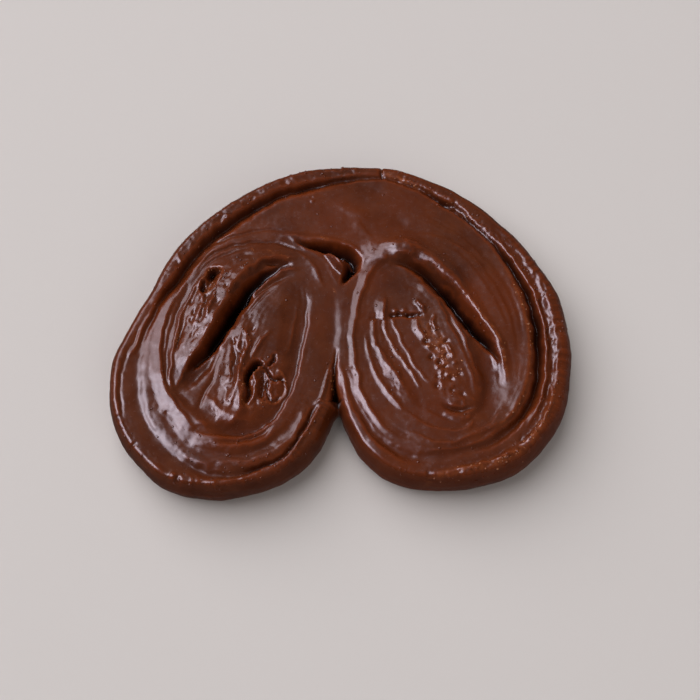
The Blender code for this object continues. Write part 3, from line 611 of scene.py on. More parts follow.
# Broken edges and pockets of the left lobe.
LEFT_BREAKS = (
    Stroke("shell_hole_deep", (
        (-32.0, 13.3, 0.9, -2.4), (-33.2, 12.9, 1.1, -3.8), (-33.9, 11.8, 0.8, -2.0),
    ), profile=Profile.FIRM, wander=0.0, uneven=0.0),
    Stroke("shell_hole_long", (
        (-32.9, 11.2, 1.0, -1.2), (-33.8, 9.8, 1.3, -1.8), (-34.9, 8.4, 0.9, -1.6),
        (-35.4, 7.4, 0.5, -0.9),
    ), profile=Profile.FIRM, wander=0.1, seed=80),
    Stroke("shell_hole_corner", ((-35.4, 10.4, 0.35, -1.4), (-35.7, 8.0, 0.4, -1.6)),
           profile=Profile.FIRM, wander=0.0),
    Stroke("shell_rim_left", (
        (-31.2, 14.7, 0.25, 0.2), (-33.2, 14.5, 0.3, 0.4), (-35.0, 12.2, 0.3, 0.45),
        (-36.3, 9.8, 0.3, 0.4), (-36.4, 7.2, 0.3, 0.25),
    ), wander=0.15, uneven=0.4, seed=81),
    Stroke("shell_rim_right", (
        (-30.8, 13.6, 0.25, 0.2), (-31.2, 11.6, 0.3, 0.35), (-32.0, 9.6, 0.3, 0.35),
        (-33.4, 8.0, 0.3, 0.35), (-34.8, 6.8, 0.3, 0.3),
    ), wander=0.15, uneven=0.4, seed=82),
    Stroke("pocket_void", (
        (-20.4, -12.2, 0.6, -2.0), (-21.6, -12.4, 0.9, -3.6), (-22.9, -14.0, 0.8, -4.0),
        (-23.6, -16.2, 0.6, -3.4), (-23.3, -18.4, 0.5, -2.2), (-23.2, -20.8, 0.5, -1.8),
        (-23.6, -22.8, 0.4, -0.6),
    ), profile=Profile.FIRM, wander=0.1, seed=83),
    Stroke("pocket_slit", (
        (-16.9, -9.8, 0.3, -1.0), (-17.3, -11.4, 0.35, -1.8), (-18.4, -12.8, 0.3, -1.0),
    ), profile=Profile.FIRM, wander=0.1, seed=84),
    Stroke("pocket_inner_ridge", (
        (-20.6, -13.6, 0.35, 0.5), (-22.0, -15.6, 0.5, 0.8), (-21.2, -18.0, 0.6, 0.9),
        (-21.7, -20.6, 0.5, 0.7), (-22.6, -22.8, 0.4, 0.4),
    ), wander=0.15, seed=85),
    Stroke("pocket_middle", (
        (-19.8, -14.8, 0.6, -1.0), (-19.6, -17.4, 0.8, -1.6), (-19.8, -20.6, 0.6, -1.4),
    ), wander=0.15, seed=86),
    Stroke("pocket_block", (
        (-17.4, -17.2, 0.9, -0.3), (-16.8, -18.8, 1.1, -0.4), (-17.2, -20.6, 0.9, -0.3),
    ), wander=0.1),
    Stroke("pocket_crack_top", (
        (-19.4, -13.2, 0.3, -0.9), (-18.2, -14.8, 0.35, -1.6), (-16.8, -16.1, 0.35, -1.9),
        (-14.8, -15.7, 0.35, -1.6), (-14.3, -16.6, 0.3, -0.8),
    ), profile=Profile.FIRM, wander=0.1, seed=87),
    Stroke("pocket_crack_right", (
        (-18.5, -16.4, 0.3, -0.8), (-18.6, -18.8, 0.3, -1.4), (-18.2, -21.2, 0.35, -1.4),
        (-17.0, -22.0, 0.3, -0.9), (-15.6, -21.2, 0.3, -0.6),
    ), profile=Profile.FIRM, wander=0.1, seed=88),
    Stroke("pocket_rim_left", (
        (-24.2, -13.8, 0.3, 0.3), (-24.5, -16.6, 0.3, 0.5), (-24.4, -19.4, 0.3, 0.5),
        (-24.9, -22.0, 0.4, 0.7), (-24.4, -23.6, 0.4, 0.7), (-22.6, -24.2, 0.35, 0.5),
        (-21.6, -23.2, 0.3, 0.2),
    ), wander=0.3, uneven=0.7, seed=89),
    Stroke("pocket_rim_right", (
        (-15.8, -14.0, 0.3, 0.4), (-14.4, -14.8, 0.3, 0.6), (-13.9, -17.2, 0.3, 0.5),
        (-14.2, -19.6, 0.3, 0.6), (-15.4, -21.6, 0.3, 0.5), (-16.8, -22.8, 0.3, 0.5),
        (-19.2, -22.4, 0.3, 0.4), (-20.4, -22.6, 0.3, 0.2),
    ), wander=0.3, uneven=0.7, seed=90),
    Stroke("pocket_peak", ((-20.4, -11.4, 0.3, 0.5), (-19.2, -12.6, 0.35, 0.7),
                           (-18.6, -13.8, 0.3, 0.4)), wander=0.1, seed=91),
)

# The right lobe: narrow folds coiled tight about a rough core, under an overhanging coil.
RIGHT_LOBE = (
    Stroke("coil_head", (
        (3.6, 17.8, 2.2, -0.3), (6.0, 18.0, 2.9, 0.2), (9.0, 18.0, 3.4, 0.8),
        (12.0, 18.1, 3.5, 1.35), (14.4, 18.4, 3.2, 1.6), (16.6, 18.7, 2.5, 1.1),
        (18.8, 18.6, 2.0, 0.4), (20.6, 18.2, 1.5, 0.0),
    ), Profile.FIRM, lean=0.35, wander=0.05, seed=140),
    Stroke("right_coil", (
        (10.0, 21.2, 2.0, 0.0), (14.4, 21.0, 2.8, 1.1), (17.4, 20.4, 3.0, 2.2),
        (20.6, 18.7, 3.0, 2.5), (24.4, 15.6, 2.9, 2.2), (28.2, 11.5, 2.6, 1.8),
        (31.6, 6.9, 2.0, 1.2), (34.6, 2.3, 1.7, 1.0), (37.5, -2.2, 1.7, 0.9),
        (40.0, -6.8, 1.5, 0.8), (41.4, -11.6, 1.3, 0.5), (41.6, -16.4, 1.1, 0.1),
    ), lean=-0.25, wander=0.12, seed=100),
    Stroke("right_coil_lip", (
        (14.4, 18.2, 0.5, 0.1), (17.3, 17.2, 0.6, 0.35), (21.0, 14.8, 0.6, 0.45),
        (24.4, 11.6, 0.6, 0.45), (27.9, 8.2, 0.5, 0.5), (30.5, 5.0, 0.4, 0.45),
        (33.0, 1.8, 0.35, 0.35), (35.6, -1.8, 0.35, 0.35), (38.0, -5.0, 0.35, 0.35),
        (39.6, -8.2, 0.4, 0.35), (40.5, -11.8, 0.4, 0.35), (41.0, -16, 0.35, 0.1),
    ), wander=0.3, uneven=0.6, seed=101),
    Stroke("right_slot", (
        (12.6, 16.3, 0.5, -0.2), (15.6, 15.8, 0.9, -1.0), (18.8, 14.4, 1.2, -2.2),
        (22.0, 12.2, 1.5, -3.8), (25.1, 9.1, 1.6, -5.4), (28.1, 5.7, 1.7, -6.6),
        (30.9, 2.0, 1.7, -7.0), (33.3, -1.6, 1.6, -6.6), (35.6, -4.8, 1.4, -5.6),
        (37.6, -7.3, 1.1, -3.8), (39.1, -9.6, 0.7, -2.0), (39.9, -11.5, 0.5, -0.4),
    ), lean=0.2, wander=0.15, seed=102),
    Stroke("right_slot_lip", (
        (14.2, 15.0, 0.4, 0.1), (17.6, 14.2, 0.5, 0.45), (20.8, 12.6, 0.5, 0.5),
        (24.2, 9.7, 0.45, 0.45), (27.1, 6.8, 0.45, 0.35), (29.4, 4.1, 0.45, 0.5),
        (31.2, 0.9, 0.45, 0.55), (33.0, -2.5, 0.45, 0.55), (35.2, -5.5, 0.45, 0.5),
        (37.2, -7.9, 0.45, 0.5), (38.8, -10.4, 0.45, 0.45), (39.4, -13.2, 0.4, 0.1),
    ), wander=0.12, seed=103),
    Stroke("right_slot_end", ((40.2, -9.8, 0.5, 0.15), (40.6, -12.2, 0.6, 0.35),
                              (40.4, -14.4, 0.6, 0.1)), wander=0.05),
    Stroke("right_ring", (
        (10.8, 16.6, 1.2, 0.2), (8.2, 14.6, 1.3, 0.45), (6.2, 11.0, 1.2, 0.55),
        (4.6, 6, 1.0, 0.5), (3.5, 0, 0.8, 0.45), (3.1, -6, 0.7, 0.4),
        (3.3, -11, 0.7, 0.45), (4.3, -16, 0.7, 0.5), (5.5, -20.6, 0.7, 0.5),
        (7.9, -25.2, 0.75, 0.5), (10.6, -28.8, 0.8, 0.4), (14.0, -31.6, 0.9, 0.2),
        (19, -33.6, 1.1, 0.05),
    ), Profile.RAMP, lean=-0.25, wander=0.15, seed=104),
    Stroke("right_fold_2", (
        (6.4, -3.6, 0.35, 0.0), (6.7, -7, 0.4, 0.3), (7.6, -11, 0.45, 0.35),
        (9.1, -15, 0.55, 0.4), (10.9, -18.4, 0.65, 0.45), (12.9, -21.2, 0.65, 0.45),
        (14.6, -23.2, 0.5, 0.4), (15.5, -24.4, 0.35, 0.1),
    ), Profile.RAMP, lean=-0.35, wander=0.12, uneven=0.3, seed=107),
    Stroke("right_fold_3_top", (
        (11.1, 6.6, 0.8, 0.1), (11.0, 4.4, 1.2, 0.6), (10.8, 2.0, 1.2, 0.7),
        (10.6, 0.8, 1.0, 0.4),
    ), Profile.RAMP, lean=-0.4, wander=0.05),
    Stroke("right_fold_3_edge", ((7.4, 0.1, 0.25, -0.3), (9.8, 0.2, 0.25, -0.35)),
           wander=0.1, seed=108),
    Stroke("right_fold_3", (
        (8.5, -0.6, 0.5, 0.2), (8.5, -3.4, 0.55, 0.4), (9.1, -7, 0.65, 0.4),
        (10.6, -10.6, 0.9, 0.5), (12.9, -13.8, 1.2, 0.6), (14.9, -17.2, 1.3, 0.6),
        (17.0, -20.6, 1.2, 0.5), (19, -23.2, 0.9, 0.1),
    ), Profile.RAMP, lean=-0.3, wander=0.25, uneven=0.3, seed=109),
    Stroke("right_fold_4", (
        (11.1, 1.6, 0.35, 0.2), (11.1, -1.5, 0.4, 0.35), (12.1, -5, 0.4, 0.35),
        (13.6, -8.2, 0.45, 0.4), (15.7, -11.4, 0.45, 0.4), (18.0, -14.8, 0.45, 0.4),
        (19.6, -17.8, 0.4, 0.3), (20.0, -19.2, 0.35, 0.0),
    ), Profile.RAMP, lean=-0.3, wander=0.12, uneven=0.3, seed=110),
    Stroke("right_fold_5", (
        (13.1, 0.4, 0.35, 0.2), (14.0, -2.2, 0.35, 0.35), (15.2, -5.4, 0.35, 0.35),
        (16.3, -8.4, 0.4, 0.35), (18.3, -11.6, 0.4, 0.35), (20.3, -14.6, 0.35, 0.3),
        (21.9, -17.2, 0.3, 0.1),
    ), Profile.RAMP, lean=-0.3, wander=0.2, uneven=0.35, seed=111),
    Stroke("right_fold_6", (
        (18.9, 0.4, 0.5, 0.3), (19.6, -2.4, 0.8, 0.6), (21.0, -5.0, 0.8, 0.6),
        (22.2, -7.6, 0.6, 0.2),
    ), Profile.RAMP, lean=-0.3, wander=0.2, uneven=0.4, seed=112),
    Stroke("right_core_body", (
        (17.6, 6.0, 3.4, 0.1), (20.6, 0, 3.8, 0.2), (24.0, -7, 4.0, 0.25),
        (27.0, -14, 4.0, 0.25), (29.6, -20, 3.6, 0.2), (30.2, -24.5, 2.6, 0.1),
    ), lean=-0.4, seed=113),
    Stroke("right_core_tear", (
        (12.6, 0.9, 0.3, -0.3), (13.8, 0.9, 0.35, -0.9), (15.6, 1.1, 0.4, -1.0),
        (17.6, 0.8, 0.4, -1.0), (19.0, 1.2, 0.35, -0.9), (20.4, 0.9, 0.3, -0.3),
    ), wander=0.35, uneven=0.6, seed=114),
    Stroke("right_core_flake_1", ((19.6, 4.6, 0.4, 0.4), (20.6, 3.2, 0.5, 0.8),
                                  (20.9, 2.0, 0.4, 0.4)), wander=0.1, seed=116),
    Stroke("right_core_flake_2", ((23.6, 0.8, 0.35, 0.3), (23.2, -0.8, 0.4, 0.8),
                                  (23.6, -2.4, 0.4, 0.8), (24.6, -2.6, 0.3, 0.3)),
           wander=0.1, seed=117),
    Stroke("right_core_flake_3", ((26.8, -6.8, 0.35, 0.4), (27.4, -8.6, 0.4, 0.8),
                                  (28.2, -10.4, 0.35, 0.4)), wander=0.1, seed=118),
    Stroke("right_core_step_1", (
        (18.4, 10.8, 2.0, 0.0), (21.8, 8.9, 2.4, 0.35), (24.8, 5.0, 2.6, 0.5),
        (27.1, 0, 2.6, 0.55), (29.1, -5, 2.6, 0.55), (31.1, -10.4, 2.4, 0.5),
        (33.0, -15.6, 2.2, 0.4), (34.2, -20, 1.8, 0.0),
    ), lean=-0.88, wander=0.2, seed=119),
    Stroke("right_core_step_2", (
        (19, 12.2, 1.6, 0.0), (22.8, 10.2, 2.0, 0.3), (26.0, 6.2, 2.2, 0.4),
        (28.5, 1.4, 2.2, 0.5), (30.5, -3.8, 2.2, 0.5), (32.5, -9.4, 2.0, 0.4),
        (34.5, -15.4, 1.8, 0.0),
    ), lean=-0.88, wander=0.2, seed=120),
    Stroke("right_core_edge", (
        (24.4, 8.4, 1.4, 0.1), (27.4, 4.2, 1.6, 0.3), (29.8, -0.9, 1.8, 0.45),
        (31.8, -6.4, 1.8, 0.5), (33.4, -12.2, 1.8, 0.5), (34.4, -17.6, 1.6, 0.35),
        (34.6, -22, 1.4, 0.05),
    ), lean=0.2, seed=121),
    Stroke("right_core_blob", (
        (26.2, -20.8, 1.2, 0.2), (29.2, -22.2, 1.4, 0.35), (32.6, -21.4, 1.2, 0.25),
    ), wander=0.3, uneven=0.4, seed=122),
    Stroke("right_core_gap", (
        (25.4, -23.6, 0.45, -0.3), (28, -24.3, 0.55, -1.1), (30.6, -24.4, 0.5, -0.9),
        (33, -23.8, 0.4, -0.3),
    ), wander=0.25, seed=123),
    Stroke("right_core_foot", (
        (26.2, -25.8, 0.8, 0.3), (28.6, -26.6, 1.0, 0.4), (31.6, -26.4, 0.8, 0.3),
    ), Profile.FIRM, wander=0.2, seed=124),
    Stroke("right_line_1", (
        (15.6, -24.4, 1.2, 0.05), (18.4, -27.0, 1.6, 0.3), (22, -28.6, 1.8, 0.4),
        (26.4, -29.9, 1.8, 0.5), (30.0, -29.6, 1.8, 0.5), (32.8, -27.4, 1.6, 0.3),
        (34.4, -24.6, 1.2, 0.0),
    ), lean=-0.85, wander=0.2, seed=125),
    Stroke("right_line_2", (
        (16.6, -29.6, 1.2, 0.0), (20, -31.6, 1.6, 0.35), (24.4, -32.9, 1.8, 0.45),
        (29, -32.4, 1.8, 0.4), (34, -30.2, 1.8, 0.35), (38, -26.6, 1.6, 0.3),
        (40.4, -22, 1.2, 0.0),
    ), lean=-0.85, wander=0.2, seed=126),
    Stroke("right_line_3", (
        (20, -23.2, 1.0, 0.0), (23, -25.6, 1.2, 0.2), (26, -27.6, 1.2, 0.2),
        (30, -28.2, 1.0, 0.0),
    ), lean=-0.85, wander=0.2, seed=127),
    Stroke("right_line_4", (
        (18, -33.6, 1.6, 0.0), (24, -34.9, 2.0, 0.3), (31, -34.0, 2.0, 0.35),
        (37, -31.0, 2.0, 0.35), (42, -26.0, 1.8, 0.3), (44.6, -20, 1.4, 0.0),
    ), lean=-0.8, wander=0.15, seed=128),
    Stroke("right_bay", (
        (33.4, -5.0, 2.0, -0.5), (35.4, -11, 3.0, -1.3), (36.6, -16.5, 3.2, -1.6),
        (36.2, -22, 3.0, -1.3), (33.8, -26.6, 2.2, -0.3),
    ), lean=0.45, seed=129),
)

# The middle: the pit under the band, and the crease that runs down into the notch.
MIDDLE = (
    Stroke("lobe_valley", (
        (-2.0, -10, 1.4, 0.0), (-1.8, -14, 1.4, -0.4), (-1.5, -18, 1.3, -1.2),
        (-1.2, -23, 1.3, -2.2),
    ), seed=130),
    Stroke("lobe_crease", (
        (-1.3, -8.0, 0.35, -0.1), (-1.6, -12, 0.4, -0.9), (-1.7, -15.6, 0.45, -2.0),
        (-1.6, -18.6, 0.55, -3.8), (-1.4, -21.4, 0.7, -6.0), (-1.1, -24.5, 0.8, -7.5),
    ), profile=Profile.FIRM, wander=0.05, seed=131),
    Stroke("centre_pit", (
        (-11.6, 21.8, 0.4, -0.3), (-9.4, 21.0, 0.7, -1.6), (-6.4, 20.1, 1.0, -3.4),
        (-3, 19.3, 1.3, -5.2), (0.2, 18.2, 1.6, -6.4), (2.2, 16.3, 1.5, -6.4),
        (1.9, 14.0, 1.2, -5.2), (1.0, 12.0, 0.8, -3.2), (0.3, 10.4, 0.5, -0.6),
    ), profile=Profile.FIRM, lean=0.3, wander=0.1, seed=132),
    Stroke("pit_lump_1", (
        (-3.0, 18.0, 0.7, 1.4), (-1.5, 16.4, 0.9, 2.6), (-0.2, 14.6, 0.8, 2.6),
        (0.8, 12.8, 0.6, 1.6),
    ), wander=0.15, seed=133),
    Stroke("pit_lump_2", ((0.4, 18.2, 0.7, 2.4), (1.7, 16.8, 0.9, 3.2),
                          (2.6, 15.4, 0.6, 2.4)), wander=0.15, seed=134),
    Stroke("pit_north_lip", (
        (-15.4, 23.6, 0.8, 0.1), (-11.6, 23.6, 0.9, 0.45), (-7.6, 22.9, 0.9, 0.45),
        (-4, 22.3, 0.9, 0.45), (-0.6, 21.6, 0.9, 0.4), (2.4, 20.4, 0.8, 0.4),
        (4.2, 18.6, 0.7, 0.3),
    ), wander=0.2, uneven=0.4, seed=135),
    Stroke("pit_south_lip", (
        (-13.0, 22.6, 0.35, 0.1), (-11.2, 21.4, 0.4, 0.35), (-9.0, 19.8, 0.45, 0.25),
        (-6.4, 18.3, 0.45, 0.15), (-4.4, 16.4, 0.45, 0.1), (-3.0, 14.0, 0.4, 0.1),
        (-1.6, 11.6, 0.4, 0.15), (-0.6, 9.6, 0.35, 0.05),
    ), wander=0.15, seed=136),
)

# Small pits and pimples: (x, y, radius, height) in mm.
SPOTS = (
    (12.9, 1.1, 0.5, -0.7), (14.4, 1.5, 0.5, -0.8), (17.2, 1.1, 0.5, -1.0),
    (18.6, 0.7, 0.6, -1.0), (20.0, 1.1, 0.4, -0.7), (13.7, 2.2, 0.5, 0.4),
    (16.0, 2.5, 0.5, 0.4), (19.6, 4.3, 0.6, 0.5), (20.7, 3.3, 0.5, 0.4),
    (21.5, -6.2, 0.6, -1.0), (21.9, -7.4, 0.4, 0.3), (22.6, -10.5, 0.6, -0.9),
    (24.9, -11.7, 0.6, -0.9), (24.3, -13.2, 0.5, 0.5), (26.3, -12.9, 0.5, -1.0),
    (25.4, -14.4, 0.5, 0.5), (27.0, -15.2, 0.5, 0.5), (27.6, -16.4, 0.5, -0.7),
    (24.0, -18.2, 0.7, -0.8), (26.6, -6.4, 0.5, -0.8), (27.4, -8.8, 0.5, 0.4),
    (28.6, -11.8, 0.5, 0.4), (28.0, -19.6, 0.5, -0.5), (30.4, -20.6, 0.6, -0.5),
    (22.9, -2.2, 0.5, -0.6), (25.2, -7.6, 0.5, -0.5), (24.2, -15.8, 0.5, -0.6),
    (29.6, -15.0, 0.5, -0.5), (26.4, -10.2, 0.5, -0.5), (23.8, -8.2, 0.6, -0.4),
    (-27.4, -6.4, 0.4, -0.5), (-26.8, -5.4, 0.4, 0.4), (-24.8, -9.4, 0.5, 0.4),
    (-26.2, -12.4, 0.5, -0.6), (-22.4, -3.0, 0.4, -0.5), (-38.4, 4.6, 0.5, -0.5),
    (-37.6, 1.4, 0.5, -0.4), (-38.2, -0.6, 0.5, -0.5), (-34.6, 6.2, 0.5, -0.5),
    (-29.4, 8.4, 0.5, -0.4), (-23.4, 13.6, 0.5, -0.5), (-37.4, -10.2, 0.5, 0.4),
    (-36.4, -12.2, 0.5, -0.4), (3.3, -13.2, 0.3, -0.3), (-43.4, -25.2, 0.3, -0.3),
    (-46.0, -40.0, 1.2, 0.3), (-39.4, -43.0, 1.5, 0.35), (-31.4, -43.6, 1.3, 0.3),
)

ALL_STROKES = RIM + BAND + LEFT_LOBE + LEFT_BREAKS + RIGHT_LOBE + MIDDLE
# The strokes whose run guides the fine streaks of the dough's layers.
STREAK_GUIDES = (
    "rim_groove_left", "rim_groove_right", "band_swell_left", "band_line_g", "left_streak",
    "left_core_body", "left_ring_2", "left_core_groove", "right_coil", "right_ring",
    "right_fold_3", "right_core_step_1", "right_line_4", "band_edge_right",
)


@dataclass(frozen=True)
class Crumple:
    """A stretch of the face whose coat is wrinkled, lumpy or torn.

    Attributes:
        name: where it is.
        rows: (x, y, half width, height) in mm along its middle.
        across: size of a wrinkle across the path, in mm.
        along: size of a wrinkle along the path, in mm.
        creased: whether the lumps meet in sharp creases.
        seed: which wrinkles it gets.
    """

    name: str
    rows: Rows
    across: float
    along: float
    creased: bool = True
    seed: int = 0

    def lift(self, xy: np.ndarray) -> tuple[np.ndarray, np.ndarray]:
        """Works out how far the wrinkles lift the points near them."""
        near, side, run, width, height = Stroke(self.name, self.rows).reach(xy)
        noise = Noise(500 + self.seed)
        value = noise.layered(side / self.across, run / self.along, 3)
        if self.creased:
            value = 0.45 - 1.6 * np.abs(value)
        return near, height * value * np.exp(-(side / width) ** 4)


CRUMPLES = (
    Crumple("finger", (
        (-19, 18.4, 1.8, 0.25), (-25, 16, 2.6, 0.35), (-30, 11, 3.4, 0.5),
        (-34, 5, 4.0, 0.65), (-36.6, -1, 4.0, 0.65), (-38.8, -7, 3.4, 0.55),
        (-40.6, -13, 2.2, 0.3), (-41.6, -17, 1.4, 0.15),
    ), 2.4, 4.6, creased=False, seed=1),
    Crumple("finger_fine", (
        (-19, 18.4, 1.8, 0.1), (-25, 16, 2.6, 0.15), (-30, 11, 3.4, 0.2),
        (-34, 5, 3.8, 0.22), (-36.6, -1, 3.8, 0.2), (-38.8, -7, 3.2, 0.15),
    ), 1.1, 1.6, creased=False, seed=15),
    Crumple("left_core", (
        (-22, 1, 2.0, 0.12), (-24.4, -4, 3.0, 0.4), (-25.8, -10, 3.2, 0.5),
        (-27.0, -16, 3.4, 0.5), (-28.6, -21, 3.4, 0.4), (-30.4, -25.4, 3.0, 0.2),
    ), 2.3, 4.4, creased=False, seed=2),
    Crumple("left_core_fine", (
        (-22, 1, 2.0, 0.05), (-24.4, -4, 3.0, 0.16), (-25.8, -10, 3.2, 0.2),
        (-27.0, -16, 3.4, 0.2), (-28.6, -21, 3.4, 0.16), (-30.4, -25.4, 3.0, 0.12),
    ), 1.0, 1.5, creased=False, seed=16),
    Crumple("left_core_foot", ((-36, -25.6, 1.6, 0.05), (-32.6, -26, 2.4, 0.12),
                               (-28.6, -26.4, 2.4, 0.12)), 0.9, 1.0, seed=3),
    Crumple("pocket", ((-19.4, -12.6, 2.6, 0.3), (-19.4, -17.4, 4.6, 0.5),
                       (-19.8, -22.4, 3.6, 0.45)), 1.1, 1.2, seed=4),
    Crumple("right_core", (
        (15.4, 2.8, 2.0, 0.15), (19.6, 1.4, 2.6, 0.22), (22.8, -4, 3.0, 0.25),
        (25.4, -9.4, 3.0, 0.28), (27.4, -15, 3.2, 0.28), (29.2, -20.4, 3.2, 0.22),
        (29.6, -26, 2.6, 0.15),
    ), 3.0, 4.2, seed=5),
    Crumple("right_core_grit", (
        (15.4, 2.8, 2.0, 0.06), (19.6, 1.4, 2.6, 0.08), (22.8, -4, 3.0, 0.1),
        (25.4, -9.4, 3.0, 0.1), (27.4, -15, 3.2, 0.1), (29.2, -20.4, 3.0, 0.06),
    ), 1.3, 1.9, creased=False, seed=14),
    Crumple("right_folds", (
        (9.6, 4, 3.0, 0.1), (9.6, -3, 3.8, 0.16), (11.6, -10, 4.4, 0.18),
        (14.6, -16.4, 4.4, 0.16), (18, -21.4, 3.0, 0.08),
    ), 1.3, 3.2, seed=6),
    Crumple("upper_right_rim", (
        (12, 42, 1.6, 0.2), (20, 38.8, 2.0, 0.35), (28, 33.6, 2.2, 0.45),
        (34, 28.6, 2.0, 0.35), (40, 23, 2.0, 0.25),
    ), 1.1, 1.7, seed=7),
    Crumple("right_rim", (
        (42, 22.4, 2.6, 0.3), (48.4, 13.6, 2.8, 0.45), (52.6, 4, 2.8, 0.5),
        (54.2, -6, 2.8, 0.5), (53.8, -16, 2.6, 0.45), (51, -24, 2.4, 0.4),
    ), 1.9, 3.2, seed=8),
    Crumple("torn_rim", (
        (51, -26, 2.2, 0.3), (46.6, -32.2, 2.2, 0.4), (40, -37.6, 2.2, 0.4),
        (32, -40.4, 2.2, 0.35), (23, -42, 2.2, 0.25), (14, -40.4, 2.2, 0.15),
    ), 1.0, 2.4, seed=9),
    Crumple("left_rim", (
        (8, 43.4, 2.2, 0.25), (-6, 42.6, 2.4, 0.36), (-18, 38.8, 2.4, 0.4),
        (-30, 30.6, 2.4, 0.42), (-39, 21.4, 2.4, 0.36), (-46, 11, 2.2, 0.22),
        (-52, -1, 2.2, 0.12), (-56, -12, 2.0, 0.08), (-55.6, -24, 2.0, 0.08),
        (-50, -35.4, 2.0, 0.2), (-40, -42.4, 2.2, 0.32), (-28, -43.8, 2.4, 0.36),
        (-17, -39.6, 2.2, 0.34), (-9.4, -31.6, 2.0, 0.36), (-5.4, -24.6, 1.8, 0.38),
    ), 2.4, 4.2, seed=10),
    Crumple("left_lobe_bottom", (
        (-47, -12, 3.0, 0.05), (-45, -24, 4.4, 0.14), (-40, -32, 5.0, 0.16),
        (-30, -37, 4.6, 0.16), (-18, -35.4, 3.6, 0.14),
    ), 2.4, 4.4, creased=False, seed=11),
    Crumple("pit", ((-6, 20.6, 1.8, 0.2), (0, 17.6, 2.6, 0.4), (1.6, 13, 2.0, 0.3)),
            1.0, 1.3, seed=12),
    Crumple("coil", (
        (8, 19.6, 2.4, 0.12), (15, 19.8, 2.4, 0.12), (22, 17.4, 2.0, 0.14),
        (29, 10.8, 1.8, 0.2), (35.6, 1.8, 1.6, 0.26), (40.4, -7, 1.4, 0.25),
    ), 1.6, 2.8, seed=13),
)

# Where the baked dough shows orange through the coat, and, along the band's edge by the right
# groove and the left tip's edge, a painted glow of light shining through the thin coat.
BARE_AND_GLOW = (
    Stroke("rim_split_edge", ((10.8, 42.3, 0.5, 0.9), (13.4, 41.4, 0.6, 1.0),
                              (16.6, 39.9, 0.55, 1.0), (20.4, 38.1, 0.4, 0.8))),
    Stroke("upper_rim_spots", ((22, 37.6, 0.4, 0.3), (28, 34.4, 0.4, 0.35),
                               (34, 29.4, 0.4, 0.3))),
    Stroke("pit_lip_spot", ((-5.6, 23.2, 0.35, 0.8), (-3.8, 22.5, 0.4, 0.9))),
    # Painted glow of light through the thin coat at the left tip.
    Stroke("left_tip_glow", ((-2.7, -13.4, 0.25, 0.8), (-2.3, -16.6, 0.3, 1.0),
                             (-2.0, -20, 0.25, 0.7))),
    Stroke("valley_spot", ((-2.1, 8.6, 0.22, 0.8), (-1.4, 6.9, 0.22, 0.7))),
    Stroke("finger_flap", ((-40.9, -2.2, 0.3, 0.6), (-41.6, -4.6, 0.35, 0.9),
                           (-42.0, -6.8, 0.3, 0.7))),
    Stroke("shell_floor", ((-33.2, 10.6, 0.9, 0.35), (-34.2, 8.6, 0.7, 0.8))),
    Stroke("shell_edge", ((-35.6, 11.2, 0.3, 0.5), (-34.2, 13.9, 0.3, 0.7),
                          (-31.6, 14.4, 0.3, 0.7), (-30.8, 12.4, 0.3, 0.6),
                          (-32.0, 9.8, 0.3, 0.6), (-34.6, 7.0, 0.35, 0.8))),
    Stroke("pocket_lip", ((-19.8, -12.2, 0.3, 0.6), (-21.4, -14.0, 0.35, 0.7),
                          (-22.6, -16.0, 0.3, 0.4))),
    Stroke("pocket_edge_left", ((-24.2, -13.8, 0.35, 0.4), (-24.5, -18, 0.35, 0.5),
                                (-24.9, -22, 0.4, 0.6), (-22.6, -24.1, 0.4, 0.7))),
    Stroke("pocket_edge_right", ((-15.6, -14.2, 0.3, 0.5), (-14.1, -16, 0.3, 0.7),
                                 (-14.2, -19.4, 0.3, 0.5), (-16.4, -22.4, 0.35, 0.7),
                                 (-20, -22.6, 0.3, 0.4))),
    Stroke("finger_scratch_1", ((-23.2, 19.6, 0.2, 0.8), (-22.4, 18.5, 0.2, 0.5))),
    Stroke("finger_scratch_2", ((-20.2, 19.2, 0.2, 0.7), (-18.6, 19.0, 0.2, 0.8),
                                (-17.4, 18.1, 0.2, 0.6))),
    Stroke("finger_scratch_3", ((-16.4, 18.4, 0.2, 0.7), (-13.8, 17.0, 0.2, 0.6))),
    Stroke("coil_torn_edge", ((30.6, 8.4, 0.3, 0.3), (34.2, 3.6, 0.35, 0.6),
                              (38, -1.8, 0.4, 0.7), (40.4, -6.6, 0.4, 0.7),
                              (41.4, -12, 0.35, 0.7), (41.8, -17, 0.3, 0.3))),
    # Painted glow of light through the thin coat along the band's edge by the right groove.
    Stroke("band_edge_glow", ((42.6, 14, 0.6, 0.2), (45.8, 6.4, 0.7, 0.45),
                         (47.2, 0, 0.7, 0.5), (47.8, -6, 0.7, 0.5), (47.6, -12, 0.7, 0.45),
                         (46.4, -18, 0.7, 0.4), (44, -23.4, 0.7, 0.35),
                         (39.6, -28.4, 0.7, 0.2))),
    Stroke("torn_rim_edge", ((53, -21, 0.5, 0.3), (50.2, -27.6, 0.9, 0.5),
                             (45.8, -33.4, 1.0, 0.6), (39.6, -37.8, 1.0, 0.6),
                             (32, -39.8, 0.9, 0.6), (25.4, -41, 0.8, 0.6),
                             (20.8, -42.6, 0.5, 0.3))),
    Stroke("right_core_skin", ((20.4, -1, 1.6, 0.3), (24.4, -6.4, 2.2, 0.5),
                               (26.4, -11, 2.2, 0.5), (27.6, -15, 1.8, 0.3))),
)


